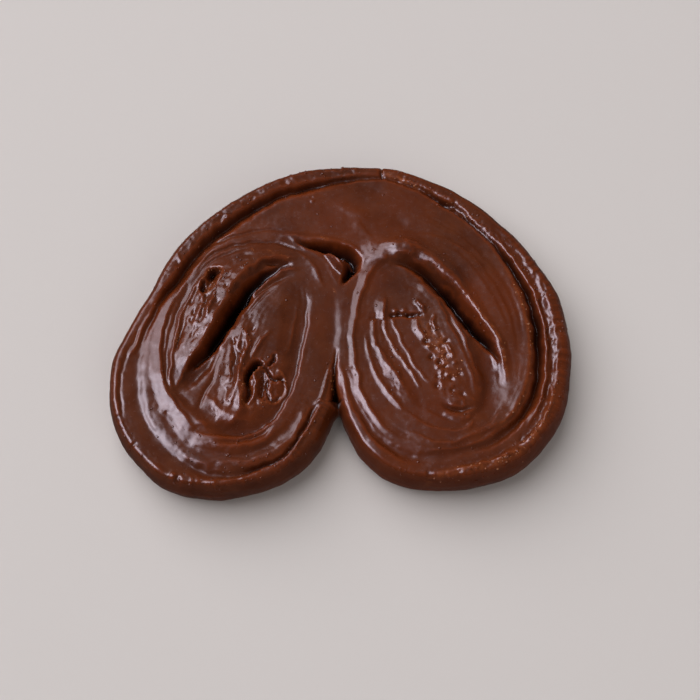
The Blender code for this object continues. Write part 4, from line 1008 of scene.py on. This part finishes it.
@dataclass(frozen=True)
class Outline:
    """The pastry's outline seen from above, in mm, as it is in the model.

    Attributes:
        points: (x, y) clockwise from the middle of the closed band.
        count: points on each ring of the finished mesh.
        ripple: how far the hand-rolled edge strays, in mm.
    """

    points: Rows = (
        (0.0, 45.5), (14.0, 44.9), (26.5, 40.2), (35.5, 34.5), (44.5, 26.0), (52.6, 15.0),
        (56.9, 6.0), (58.7, -6.5), (57.7, -16.5), (54.6, -26.7), (47.0, -36.0),
        (38.5, -40.8), (28.3, -42.7), (18.2, -42.3), (10.1, -39.2), (4.0, -33.6),
        (1.1, -27.6), (-0.8, -23.0), (-3.2, -27.8), (-6.2, -33.6), (-12.1, -39.3),
        (-20.2, -43.2), (-32.4, -45.2), (-44.5, -42.3), (-54.2, -33.0), (-58.6, -22.0),
        (-58.6, -10.0), (-55.0, -0.8), (-50.3, 8.2), (-46.0, 17.5), (-39.5, 26.5),
        (-30.4, 34.4), (-20.2, 40.8), (-10.0, 44.4),
    )
    count: int = 1000
    ripple: float = 0.16

    def path(self) -> np.ndarray:
        """Gives evenly spaced points round the outline, fitted to the model's box."""
        dense = spline(self.points, 40, closed=True)
        run = np.concatenate([[0.0], np.cumsum(np.hypot(*np.diff(
            np.vstack([dense, dense[:1]]), axis=0).T))])
        wanted = np.linspace(0.0, run[-1], self.count, endpoint=False)
        loop = np.vstack([dense, dense[:1]])
        even = np.stack([np.interp(wanted, run, loop[:, i]) for i in (0, 1)], axis=1)
        low, high = even.min(axis=0), even.max(axis=0)
        box = np.array(CAD_BOX)[:, :2] / MM
        return box[0] + (even - low) / (high - low) * (box[1] - box[0])

    @staticmethod
    def outward(path: np.ndarray) -> np.ndarray:
        """Gives the unit normals that point away from the pastry."""
        along = np.roll(path, -2, axis=0) - np.roll(path, 2, axis=0)
        along /= np.hypot(along[:, 0], along[:, 1])[:, None]
        return np.stack([-along[:, 1], along[:, 0]], axis=1)


@dataclass(frozen=True)
class Side:
    """The cross-section of the pastry's side, in mm, from the base up to the rim's crest."""

    crest_height: float = 12.3
    bulge_height: float = 6.2
    base_inset: float = 2.8
    crest_inset: float = 2.3
    east_roll: float = 1.0
    squareness: float = 2.15
    lower_rings: int = 9
    upper_rings: int = 14


@dataclass
class Face:
    """The heights of the face: its crown, its strokes and the unevenness of the coat."""

    strokes: Sequence[Stroke] = ALL_STROKES
    crumples: Sequence[Crumple] = CRUMPLES
    guides: Sequence[str] = STREAK_GUIDES
    rim_height: float = 12.2
    crown_rise: float = 0.5
    warp: float = 0.22
    warp_size: float = 3.5
    crown_reach: tuple[float, float] = (3.0, 16.0)
    streak_height: float = 0.09
    streak_width: float = 0.75
    streak_length: float = 11.0
    sag_height: float = 0.16
    sag_size: float = 9.0
    dimple_height: float = 0.055
    dimple_size: float = 2.4

    def streaks(self, xy: np.ndarray) -> np.ndarray:
        """Draws the thin ridges of the dough's layers, along the nearest strokes."""
        total = np.zeros(len(xy))
        weight = np.full(len(xy), 1e-4)
        for number, stroke in enumerate(self.strokes):
            if stroke.name not in self.guides:
                continue
            wide = Stroke(stroke.name, [(x, y, 2.6, 1.0) for x, y, *_ in stroke.rows])
            near, side, run, _, _ = wide.reach(xy)
            noise = Noise(300 + number)
            layer = noise.layered(side / self.streak_width, run / self.streak_length, 2)
            share = np.exp(-(side / 2.6) ** 2)
            total[near] += layer * share
            weight[near] += share
        return total / np.maximum(weight, 0.6)

    def height(self, xy: np.ndarray, inset: np.ndarray) -> np.ndarray:
        """Works out the height of the face over the base.

        Args:
            xy: points in the plane, in mm.
            inset: each point's distance in from the outline, in mm.

        Returns:
            Heights in mm.
        """
        x, y = xy[:, 0], xy[:, 1]
        size = self.warp_size
        stray = np.stack([Noise(n).layered(x / size, y / size, 2) for n in (21, 22)], axis=1)
        drawn = xy + 2 * self.warp * stray
        z = self.rim_height + self.crown_rise * smoothstep(inset, *self.crown_reach)
        for stroke in (*self.strokes, *self.crumples):
            near, lift = stroke.lift(drawn)
            z[near] += lift
        for x_spot, y_spot, radius, rise in SPOTS:
            gap = np.hypot(drawn[:, 0] - x_spot, drawn[:, 1] - y_spot)
            z += rise * np.exp(-(gap / radius) ** 2)
        z += self.sag_height * Noise(1).layered(x / self.sag_size, y / self.sag_size, 2)
        z += self.dimple_height * Noise(2).layered(x / self.dimple_size, y / self.dimple_size)
        return z + self.streak_height * self.streaks(drawn)


def even_points(low: np.ndarray, high: np.ndarray, spacing: float) -> np.ndarray:
    """Fills a box with points in rows of equal triangles."""
    rows = np.arange(low[1], high[1], spacing * math.sqrt(3) / 2)
    columns = np.arange(low[0], high[0], spacing)
    x, y = np.meshgrid(columns, rows)
    x = x + (np.arange(len(rows)) % 2)[:, None] * spacing / 2
    return np.stack([x.ravel(), y.ravel()], axis=1)


def outline_distance(xy: np.ndarray, path: np.ndarray, normals: np.ndarray) -> np.ndarray:
    """Gives each point's distance in from a closed path, negative outside it."""
    inset = np.empty(len(xy))
    for start in range(0, len(xy), 4000):
        block = xy[start:start + 4000]
        gap = ((block[:, None, :] - path[None, :, :]) ** 2).sum(axis=2)
        nearest = gap.argmin(axis=1)
        offset = path[nearest] - block
        inward = (offset * normals[nearest]).sum(axis=1)
        inset[start:start + 4000] = np.sqrt(gap.min(axis=1)) * np.sign(inward)
    return inset


def fill_ring(ring: np.ndarray, inner: np.ndarray) -> tuple[np.ndarray, list]:
    """Covers the inside of a closed ring with triangles.

    Args:
        ring: the ring's points, in order.
        inner: points inside it.

    Returns:
        The inner points that were used, and triangles that count the ring's points first.
    """
    points = [Vector(p) for p in np.vstack([ring, inner])]
    edges = [(i, (i + 1) % len(ring)) for i in range(len(ring))]
    result = delaunay_2d_cdt(points, edges, [], 1, 1e-5)
    source = [origins[0] for origins in result[3]]
    faces = [tuple(source[v] for v in face) for face in result[2]]
    return inner, faces


@dataclass
class Pastry:
    """The whole palmier as one closed mesh.

    Attributes:
        outline: the plan outline.
        side: the section of the side.
        face: the heights of the face.
        grid: size of the face's triangles, in mm.
        base_grid: size of the base's triangles, in mm.
    """

    outline: Outline = field(default_factory=Outline)
    side: Side = field(default_factory=Side)
    face: Face = field(default_factory=Face)
    grid: float = 0.42
    base_grid: float = 1.3

    def rings(self, path: np.ndarray, normals: np.ndarray) -> tuple[np.ndarray, np.ndarray]:
        """Runs the side's section round the outline.

        Args:
            path: the outline's points.
            normals: its outward normals.

        Returns:
            Points as rings by places by (x, y, z), from the base up, and each ring's share
            of the face's relief, from 0 to 1.
        """
        side = self.side
        angles = np.concatenate([
            np.linspace(-90, 0, side.lower_rings, endpoint=False),
            np.linspace(0, 90, side.upper_rings),
        ])
        power = 2 / side.squareness
        east = np.clip(normals[:, 0], 0, 1) ** 2
        crest_inset = side.crest_inset + side.east_roll * east
        run = np.arange(len(path)) * 380.0 / len(path)
        bulge = side.bulge_height + 0.8 * Noise(5).plain(run / 40.0, np.full(len(run), 0.5))
        layers = []
        for angle in angles:
            c, s = math.cos(math.radians(angle)), math.sin(math.radians(angle))
            out = 1 - max(c, 0.0) ** power
            up = abs(s) ** power
            if angle < 0:
                inset, z = np.full(len(path), side.base_inset * out), bulge * (1 - up)
            else:
                inset, z = crest_inset * out, bulge + (side.crest_height - bulge) * up
            layers.append(np.column_stack([path - normals * inset[:, None], z]))
        relief = smoothstep(np.sin(np.radians(angles)), 0.25, 1.0)
        return np.array(layers), relief

    def mesh(self) -> bpy.types.Object:
        """Builds the pastry."""
        path = self.outline.path()
        normals = Outline.outward(path)
        run = np.arange(len(path)) * 380.0 / len(path)
        ripple = self.outline.ripple * 2 * Noise(4).layered(run / 7.0, run * 0 + 0.5, 3)
        rings, relief = self.rings(path + normals * ripple[:, None], normals)
        crest = rings[-1][:, :2]
        candidates = even_points(crest.min(axis=0), crest.max(axis=0), self.grid)
        inset = outline_distance(candidates, path, normals)
        deep = outline_distance(candidates, crest, Outline.outward(crest))
        keep = deep > 0.55 * self.grid
        inner, faces = fill_ring(crest, candidates[keep])
        inner_z = self.face.height(inner, inset[keep])
        crest_z = self.face.height(crest, outline_distance(crest, path, normals))
        # The rings follow the face at the crest and let go of it down the side.
        change = crest_z - rings[-1][:, 2]
        for ring, share in zip(rings, relief):
            ring[:, 2] += change * share
        self.roughen_side(rings, normals, run)
        base = rings[0][:, :2]
        base_points = even_points(base.min(axis=0), base.max(axis=0), self.base_grid)
        base_deep = outline_distance(base_points, base, Outline.outward(base))
        base_points = base_points[base_deep > 0.5 * self.base_grid]
        base_inner, base_faces = fill_ring(base, base_points)
        return self.join(rings, np.column_stack([inner, inner_z]), faces,
                         self.base_heights(base_inner, base, base_deep), base_faces)

    def roughen_side(self, rings: np.ndarray, normals: np.ndarray, run: np.ndarray) -> None:
        """Gives the side the faint level ridges of the layers under the coat."""
        count = len(rings)
        noise = Noise(6)
        for number, ring in enumerate(rings):
            level = ring[:, 2]
            push = 0.14 * noise.layered(run / 9.0, level / 1.6, 3)
            push += 0.30 * noise.plain(run / 17.0 + 40, level / 9.0)
            fade = math.sin(math.pi * min(1.0, number / (count - 1) * 1.02))
            ring[:, :2] += normals * (push * fade)[:, None]

    def base_heights(self, inner: np.ndarray, base: np.ndarray, deep: np.ndarray
                     ) -> np.ndarray:
        """Gives the underside faint hollows, with most of it flat where it rests."""
        inset = deep[deep > 0.5 * self.base_grid]
        x, y = inner[:, 0], inner[:, 1]
        hollow = 0.5 * Noise(8).layered(x / 11.0, y / 11.0, 3) - 0.05
        hollow = np.clip(hollow, 0.0, 0.4) * smoothstep(inset, 0.5, 4.0)
        return np.column_stack([inner, hollow])

    @staticmethod
    def join(rings: np.ndarray, top: np.ndarray, top_faces: list, base: np.ndarray,
             base_faces: list) -> bpy.types.Object:
        """Sews the rings, the face and the base into one closed mesh."""
        levels, count = rings.shape[:2]
        points = np.vstack([rings.reshape(-1, 3), top, base])
        first_top = levels * count
        first_base = first_top + len(top)
        crest_start = (levels - 1) * count
        faces = []
        for level in range(levels - 1):
            low, high = level * count, (level + 1) * count
            for i in range(count):
                j = (i + 1) % count
                faces.append((low + i, high + i, high + j, low + j))
        for face in top_faces:
            faces.append(tuple(v + crest_start if v < count else v - count + first_top
                               for v in face))
        for face in base_faces:
            faces.append(tuple(v if v < count else v - count + first_base
                               for v in reversed(face)))
        mesh = bpy.data.meshes.new("palmier_coat")
        mesh.from_pydata([tuple(p) for p in points * MM], [], faces)
        obj = bpy.data.objects.new("palmier_coat", mesh)
        bpy.context.scene.collection.objects.link(obj)
        work = bmesh.new()
        work.from_mesh(mesh)
        bmesh.ops.recalc_face_normals(work, faces=work.faces)
        work.to_mesh(mesh)
        work.free()
        mesh.shade_smooth()
        return obj


def blurred(points: np.ndarray, edges: np.ndarray, rounds: int) -> np.ndarray:
    """Averages each point with its neighbours, again and again."""
    degree = np.bincount(edges.ravel(), minlength=len(points)).astype(float)
    for _ in range(rounds):
        total = np.empty_like(points)
        for axis in range(3):
            values = points[:, axis]
            total[:, axis] = (
                np.bincount(edges[:, 0], weights=values[edges[:, 1]], minlength=len(points))
                + np.bincount(edges[:, 1], weights=values[edges[:, 0]], minlength=len(points)))
        points = 0.5 * points + 0.5 * total / degree[:, None]
    return points


def mesh_points(mesh: bpy.types.Mesh) -> np.ndarray:
    """Reads a mesh's points, in mm."""
    flat = np.empty(len(mesh.vertices) * 3, dtype=np.float32)
    mesh.vertices.foreach_get("co", flat)
    return flat.reshape(-1, 3).astype(float) / MM


def set_attribute(mesh: bpy.types.Mesh, name: str, values: np.ndarray) -> None:
    """Stores one number for each point of a mesh."""
    layer = mesh.attributes.new(name, "FLOAT", "POINT")
    layer.data.foreach_set("value", values.astype(np.float32))


def mark_form(obj: bpy.types.Object) -> None:
    """Marks where the coat is stretched thin over a crest, for a painted glow of light through
    it, and where it lies in a hollow, for painted shade.
    """
    mesh = obj.data
    points = mesh_points(mesh)
    normals = np.empty(len(mesh.vertices) * 3, dtype=np.float32)
    mesh.vertices.foreach_get("normal", normals)
    normals = normals.reshape(-1, 3)
    edges = np.empty(len(mesh.edges) * 2, dtype=np.int32)
    mesh.edges.foreach_get("vertices", edges)
    edges = edges.reshape(-1, 2)
    near = blurred(points, edges, 8)
    far = blurred(near, edges, 90)
    # Painted glow: how sharply a point stands out, to warm the thinnest crests as if light shone
    # through the coat.
    set_attribute(mesh, "crest", np.clip(((points - near) * normals).sum(axis=1) / 0.12, 0, 1))
    # Painted shade: how far a point lies below its surroundings, to darken the hollows.
    set_attribute(mesh, "hollow", np.clip((far - points)[:, 2] / 3.0, 0, 1))
    set_attribute(mesh, "side", 1 - smoothstep(normals[:, 2], 0.2, 0.75))
    # The bare mark: bare baked dough, and on two strokes a painted glow of light through the thin
    # coat.
    bare_and_glow = np.zeros(len(points))
    top = np.flatnonzero(normals[:, 2] > 0.05)
    for patch in BARE_AND_GLOW:
        near, share = patch.lift(points[top, :2])
        bare_and_glow[top[near]] = np.maximum(bare_and_glow[top[near]], share)
    set_attribute(mesh, "bare_and_glow", np.clip(bare_and_glow, 0, 1))
    bumpy = np.full(len(points), 0.05)
    for zone in CRUMPLES:
        near, side, _, width, height = Stroke(zone.name, zone.rows).reach(points[top, :2])
        share = np.exp(-(side / width) ** 4) * np.clip(height * 2.5, 0, 1)
        bumpy[top[near]] = np.maximum(bumpy[top[near]], share)
    set_attribute(mesh, "bumpy", bumpy * smoothstep(normals[:, 2], 0.0, 0.4))


@dataclass(frozen=True)
class Grains:
    """Many small rounded grains, strewn over the coat by a node tree.

    Attributes:
        name: what they are.
        guide: the coat's attribute that says where they lie.
        density: how many lie in a square metre where the guide is 1.
        smallest: radius of the smallest, in mm.
        largest: radius of the largest, in mm.
        flatness: height over width.
        detail: how often the ball is divided.
        seed: which places they get.
    """

    name: str
    guide: str
    density: float
    smallest: float
    largest: float
    flatness: float
    detail: int
    seed: int

    def tree(self) -> bpy.types.NodeTree:
        """Builds the node tree, with named inputs."""
        tree = bpy.data.node_groups.new(self.name, "GeometryNodeTree")
        made = tree.interface.new_socket
        made("Geometry", in_out="OUTPUT", socket_type="NodeSocketGeometry")
        made("Geometry", in_out="INPUT", socket_type="NodeSocketGeometry")
        for label, kind in (("Density", "Float"), ("Smallest", "Float"), ("Largest", "Float"),
                            ("Flatness", "Float"), ("Seed", "Int"), ("Finish", "Material")):
            made(label, in_out="INPUT", socket_type=f"NodeSocket{kind}")
        given = add_node(tree, "NodeGroupInput").outputs
        guide = add_node(tree, "GeometryNodeInputNamedAttribute", {"Name": self.guide},
                         data_type="FLOAT")
        amount = add_node(tree, "ShaderNodeMath", {
            0: guide.outputs["Attribute"], 1: given["Density"]}, operation="MULTIPLY")
        places = add_node(tree, "GeometryNodeDistributePointsOnFaces", {
            "Mesh": given["Geometry"], "Density": amount.outputs[0], "Seed": given["Seed"]},
            distribute_method="RANDOM")
        ball = add_node(tree, "GeometryNodeMeshIcoSphere", {
            "Radius": 1.0, "Subdivisions": self.detail})
        radius = add_node(tree, "FunctionNodeRandomValue", {
            2: given["Smallest"], 3: given["Largest"], "Seed": given["Seed"]},
            data_type="FLOAT")
        stretch = add_node(tree, "FunctionNodeRandomValue", {
            2: 0.7, 3: 1.4, "Seed": 7}, data_type="FLOAT")
        long = add_node(tree, "ShaderNodeMath", {
            0: radius.outputs[1], 1: stretch.outputs[1]}, operation="MULTIPLY")
        low = add_node(tree, "ShaderNodeMath", {
            0: radius.outputs[1], 1: given["Flatness"]}, operation="MULTIPLY")
        size = add_node(tree, "ShaderNodeCombineXYZ", {
            "X": long.outputs[0], "Y": radius.outputs[1], "Z": low.outputs[0]})
        laid = add_node(tree, "GeometryNodeInstanceOnPoints", {
            "Points": places.outputs["Points"], "Instance": ball.outputs["Mesh"],
            "Rotation": places.outputs["Rotation"], "Scale": size.outputs[0]})
        real = add_node(tree, "GeometryNodeRealizeInstances", {
            "Geometry": laid.outputs["Instances"]})
        finish = add_node(tree, "GeometryNodeSetMaterial", {
            "Geometry": real.outputs["Geometry"], "Material": given["Finish"]})
        add_node(tree, "NodeGroupOutput", {"Geometry": finish.outputs["Geometry"]})
        return tree

    def strew(self, coat: bpy.types.Object, finish: bpy.types.Material) -> bpy.types.Object:
        """Strews the grains over the coat, as one plain mesh.

        Args:
            coat: the pastry, with the guide attribute.
            finish: the grains' material.

        Returns:
            The mesh of all the grains.
        """
        source = bpy.data.objects.new(self.name + "_source", coat.data)
        bpy.context.scene.collection.objects.link(source)
        nodes = source.modifiers.new(self.name, "NODES")
        nodes.node_group = self.tree()
        values = {"Density": self.density, "Smallest": self.smallest * MM,
                  "Largest": self.largest * MM, "Flatness": self.flatness,
                  "Seed": self.seed, "Finish": finish}
        for item in nodes.node_group.interface.items_tree:
            if item.in_out == "INPUT" and item.name in values:
                nodes[item.identifier] = values[item.name]
        bpy.context.view_layer.update()
        graph = bpy.context.evaluated_depsgraph_get()
        mesh = bpy.data.meshes.new_from_object(source.evaluated_get(graph), depsgraph=graph)
        bpy.data.objects.remove(source)
        mesh.name = self.name
        mesh.shade_smooth()
        grains = bpy.data.objects.new(self.name, mesh)
        bpy.context.scene.collection.objects.link(grains)
        LOG.info("%s: %d triangles", self.name, sum(len(p.vertices) - 2 for p in mesh.polygons))
        return grains


GRAINS = (
    Grains("coat_blisters", "bumpy", 220000.0, 0.12, 0.34, 0.6, 2, 3),
    Grains("crust_crumbs", "bare_and_glow", 900000.0, 0.10, 0.26, 0.7, 1, 5),
)


@dataclass(frozen=True)
class ChocolateCoat:
    """Dark chocolate poured over the pastry: glossy, with painted shade that makes it nearly
    black in the hollows, and a painted glow of light through the thin coat on its crests.
    """

    name: str = "dark_chocolate_coat"
    # deep: the painted shade colour of the hollows.
    deep: str = "180501"
    body: str = "491d07"
    pale: str = "5c2b13"
    # thin: the painted glow colour of light shining through the thin coat on crests.
    thin: str = "74310f"
    amber: str = "6c2c0a"
    # crust: bare baked dough, also used for the painted glow on two strokes.
    crust_and_glow: str = "8e4a26"
    roughness: float = 0.22

    def material(self) -> bpy.types.Material:
        """Builds the coat."""
        material = bpy.data.materials.new(self.name)
        material.use_nodes = True
        tree = material.node_tree
        shader = tree.nodes["Principled BSDF"]
        place = add_node(tree, "ShaderNodeTexCoord").outputs["Object"]
        marks = {name: add_node(tree, "ShaderNodeAttribute", attribute_name=name).outputs["Fac"]
                 for name in ("crest", "hollow", "side", "bare_and_glow")}
        cloud = add_node(tree, "ShaderNodeTexNoise", {
            "Vector": place, "Scale": 1 / (7 * MM), "Detail": 4.0, "Roughness": 0.6})
        spread = add_node(tree, "ShaderNodeMapRange", {
            "Value": cloud.outputs["Fac"], "From Min": 0.3, "From Max": 0.7})
        tone = add_node(tree, "ShaderNodeMix", {
            0: spread.outputs["Result"], 6: srgb(self.body), 7: srgb(self.pale)},
            data_type="RGBA")
        drift = add_node(tree, "ShaderNodeTexNoise", {
            "Vector": place, "Scale": 1 / (19 * MM), "Detail": 2.0})
        thinned = add_node(tree, "ShaderNodeMapRange", {
            "Value": drift.outputs["Fac"], "From Min": 0.42, "From Max": 0.7, "To Max": 0.5})
        runny = add_node(tree, "ShaderNodeMix", {
            0: thinned.outputs["Result"], 6: tone.outputs[2], 7: srgb(self.amber)},
            data_type="RGBA")
        # Painted shade: the hollows are darkened towards the deep colour.
        dark = add_node(tree, "ShaderNodeMix", {
            0: marks["hollow"], 6: runny.outputs[2], 7: srgb(self.deep)}, data_type="RGBA")
        # Painted glow: the sharpest crests are warmed towards the thin colour, as light shining
        # through the thin coat.
        edge = add_node(tree, "ShaderNodeMapRange", {
            "Value": marks["crest"], "From Min": 0.45, "From Max": 1.0, "To Max": 0.5})
        crest_glow = add_node(tree, "ShaderNodeMix", {
            0: edge.outputs["Result"], 6: dark.outputs[2], 7: srgb(self.thin)},
            data_type="RGBA")
        grain = add_node(tree, "ShaderNodeTexNoise", {
            "Vector": place, "Scale": 1 / (1.6 * MM), "Detail": 3.0, "Roughness": 0.7})
        torn = add_node(tree, "ShaderNodeMapRange", {
            "Value": grain.outputs["Fac"], "From Min": 0.38, "From Max": 0.62})
        shown = add_node(tree, "ShaderNodeMath", {
            0: marks["bare_and_glow"], 1: torn.outputs["Result"]}, operation="MULTIPLY")
        # The bare mark mixes in the crust colour: bare baked dough, and on two strokes a painted
        # glow of light.
        crust_and_glow = add_node(tree, "ShaderNodeMix", {
            0: shown.outputs[0], 6: crest_glow.outputs[2], 7: srgb(self.crust_and_glow)}, data_type="RGBA")
        tree.links.new(crust_and_glow.outputs[2], shader.inputs["Base Color"])
        fine = add_node(tree, "ShaderNodeTexNoise", {
            "Vector": place, "Scale": 1 / (1.1 * MM), "Detail": 3.0})
        rough = add_node(tree, "ShaderNodeMapRange", {
            "Value": fine.outputs["Fac"], "From Min": 0.3, "From Max": 0.7,
            "To Min": self.roughness - 0.04, "To Max": self.roughness + 0.07})
        worn = add_node(tree, "ShaderNodeMath", {
            0: marks["side"], 1: 0.25, 2: rough.outputs["Result"]}, operation="MULTIPLY_ADD")
        tree.links.new(worn.outputs[0], shader.inputs["Roughness"])
        gloss = add_node(tree, "ShaderNodeMapRange", {
            "Value": marks["side"], "To Min": 0.31, "To Max": 0.1})
        tree.links.new(gloss.outputs["Result"], shader.inputs["Specular IOR Level"])
        bump = add_node(tree, "ShaderNodeBump", {
            "Height": fine.outputs["Fac"], "Strength": 0.35, "Distance": 0.05 * MM})
        tree.links.new(bump.outputs["Normal"], shader.inputs["Normal"])
        shader.inputs["IOR"].default_value = 1.5
        return material


@dataclass(frozen=True)
class BakedCrumb:
    """Bare baked crumb: golden brown, matt, with a faint buttery shine."""

    name: str = "baked_crumb"
    pale: str = "b4703c"
    dark: str = "7a3f1c"
    roughness: float = 0.45

    def material(self) -> bpy.types.Material:
        """Builds the crumb."""
        material = bpy.data.materials.new(self.name)
        material.use_nodes = True
        tree = material.node_tree
        shader = tree.nodes["Principled BSDF"]
        place = add_node(tree, "ShaderNodeTexCoord").outputs["Object"]
        cloud = add_node(tree, "ShaderNodeTexNoise", {
            "Vector": place, "Scale": 1 / (1.5 * MM), "Detail": 2.0})
        spread = add_node(tree, "ShaderNodeMapRange", {
            "Value": cloud.outputs["Fac"], "From Min": 0.35, "From Max": 0.65})
        tone = add_node(tree, "ShaderNodeMix", {
            0: spread.outputs["Result"], 6: srgb(self.dark), 7: srgb(self.pale)},
            data_type="RGBA")
        tree.links.new(tone.outputs[2], shader.inputs["Base Color"])
        shader.inputs["Roughness"].default_value = self.roughness
        return material


@dataclass(frozen=True)
class Lamp:
    """One round soft light.

    Attributes:
        name: its name.
        power: in watts.
        size: across, in metres.
        distance: from the pastry, in metres.
        height: in degrees above the floor.
        compass: which way it lies, in degrees from the back, clockwise from above.
        colour: its sRGB colour.
        sheen: whether it shows in glossy surfaces.
        fill: whether it lights matt surfaces and throws shadows.
    """

    name: str
    power: float
    size: float
    distance: float
    height: float
    compass: float
    colour: str = "ffffff"
    sheen: bool = True
    fill: bool = True

    def hang(self) -> None:
        """Hangs the lamp, turned to the pastry."""
        data = bpy.data.lights.new(self.name, "AREA")
        data.shape = "DISK"
        data.size = self.size
        data.energy = self.power
        data.color = srgb(self.colour)[:3]
        lamp = bpy.data.objects.new(self.name, data)
        bpy.context.scene.collection.objects.link(lamp)
        compass, height = math.radians(self.compass), math.radians(self.height)
        away = Vector((math.sin(compass) * math.cos(height),
                       math.cos(compass) * math.cos(height), math.sin(height)))
        lamp.location = away * self.distance
        lamp.rotation_euler = away.to_track_quat("Z", "Y").to_euler()
        lamp.visible_glossy = self.sheen
        lamp.visible_diffuse = self.fill


@dataclass(frozen=True)
class Studio:
    """The floor, the soft lights and the camera."""

    floor_colour: str = "d6d3d3"
    camera_tilt: float = 68.0
    camera_lens: float = 85.0
    camera_distance: float = 0.432
    camera_target: tuple[float, float, float] = (0.0022, -0.0033, 0.0)
    lamps: tuple[Lamp, ...] = (
        Lamp("key", 73.0, 3.5, 2.4, 50.0, 311.0, colour="fffaf8", sheen=False),
        Lamp("bounce", 5.0, 1.5, 1.8, 38.0, 150.0, colour="fff4ea", sheen=False),
        Lamp("window", 46.0, 1.35, 1.6, 48.5, 266.0, colour="eceaff", fill=False),
        Lamp("window_west", 15.0, 1.0, 1.4, 43.0, 306.0, colour="f1f0ff", fill=False),
        Lamp("window_glow", 5.0, 0.45, 1.4, 50.0, 266.0, colour="f1f0ff", fill=False),
    )
    room_colour: str = "fffcfa"
    room_light: float = 0.16

    def floor(self) -> bpy.types.Object:
        """Lays the pale floor."""
        bpy.ops.mesh.primitive_plane_add(size=6.0, location=(0, 0, -0.00005))
        floor = bpy.context.object
        floor.name = "floor"
        material = bpy.data.materials.new("pale_matt_floor")
        material.use_nodes = True
        shader = material.node_tree.nodes["Principled BSDF"]
        shader.inputs["Base Color"].default_value = srgb(self.floor_colour)
        shader.inputs["Roughness"].default_value = 0.9
        shader.inputs["Specular IOR Level"].default_value = 0.2
        floor.data.materials.append(material)
        floor.visible_glossy = False
        return floor

    def light(self) -> None:
        """Hangs the lamps, and lights the room evenly."""
        world = bpy.data.worlds.new("room")
        bpy.context.scene.world = world
        world.use_nodes = True
        back = world.node_tree.nodes["Background"]
        back.inputs["Color"].default_value = srgb(self.room_colour)
        back.inputs["Strength"].default_value = self.room_light
        for lamp in self.lamps:
            lamp.hang()

    def camera(self) -> None:
        """Sets the camera over the front edge, looking down."""
        data = bpy.data.cameras.new("camera")
        data.lens = self.camera_lens
        data.sensor_width = 36.0
        data.clip_start = 0.01
        camera = bpy.data.objects.new("camera", data)
        bpy.context.scene.collection.objects.link(camera)
        tilt = math.radians(self.camera_tilt)
        back = Vector((0.0, -math.cos(tilt), math.sin(tilt)))
        camera.location = Vector(self.camera_target) + back * self.camera_distance
        camera.rotation_euler = back.to_track_quat("Z", "Y").to_euler()
        bpy.context.scene.camera = camera


def main() -> None:
    """Builds the pastry and its studio."""
    logging.basicConfig(level=logging.INFO, format="%(name)s: %(message)s")
    bpy.context.scene.view_settings.view_transform = "Standard"
    studio = Studio()
    studio.camera()
    studio.floor()
    studio.light()
    pastry = Pastry().mesh()
    LOG.info("coat built")
    mark_form(pastry)
    chocolate = ChocolateCoat().material()
    for kind, finish in zip(GRAINS, (chocolate, BakedCrumb().material())):
        grains = kind.strew(pastry, finish)
        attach(grains, "root")
    pastry.data.materials.append(chocolate)
    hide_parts("palmier")
    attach(pastry, "root")
    LOG.info("coat: %d triangles", sum(len(p.vertices) - 2 for p in pastry.data.polygons))


if __name__ == "__main__":
    main()
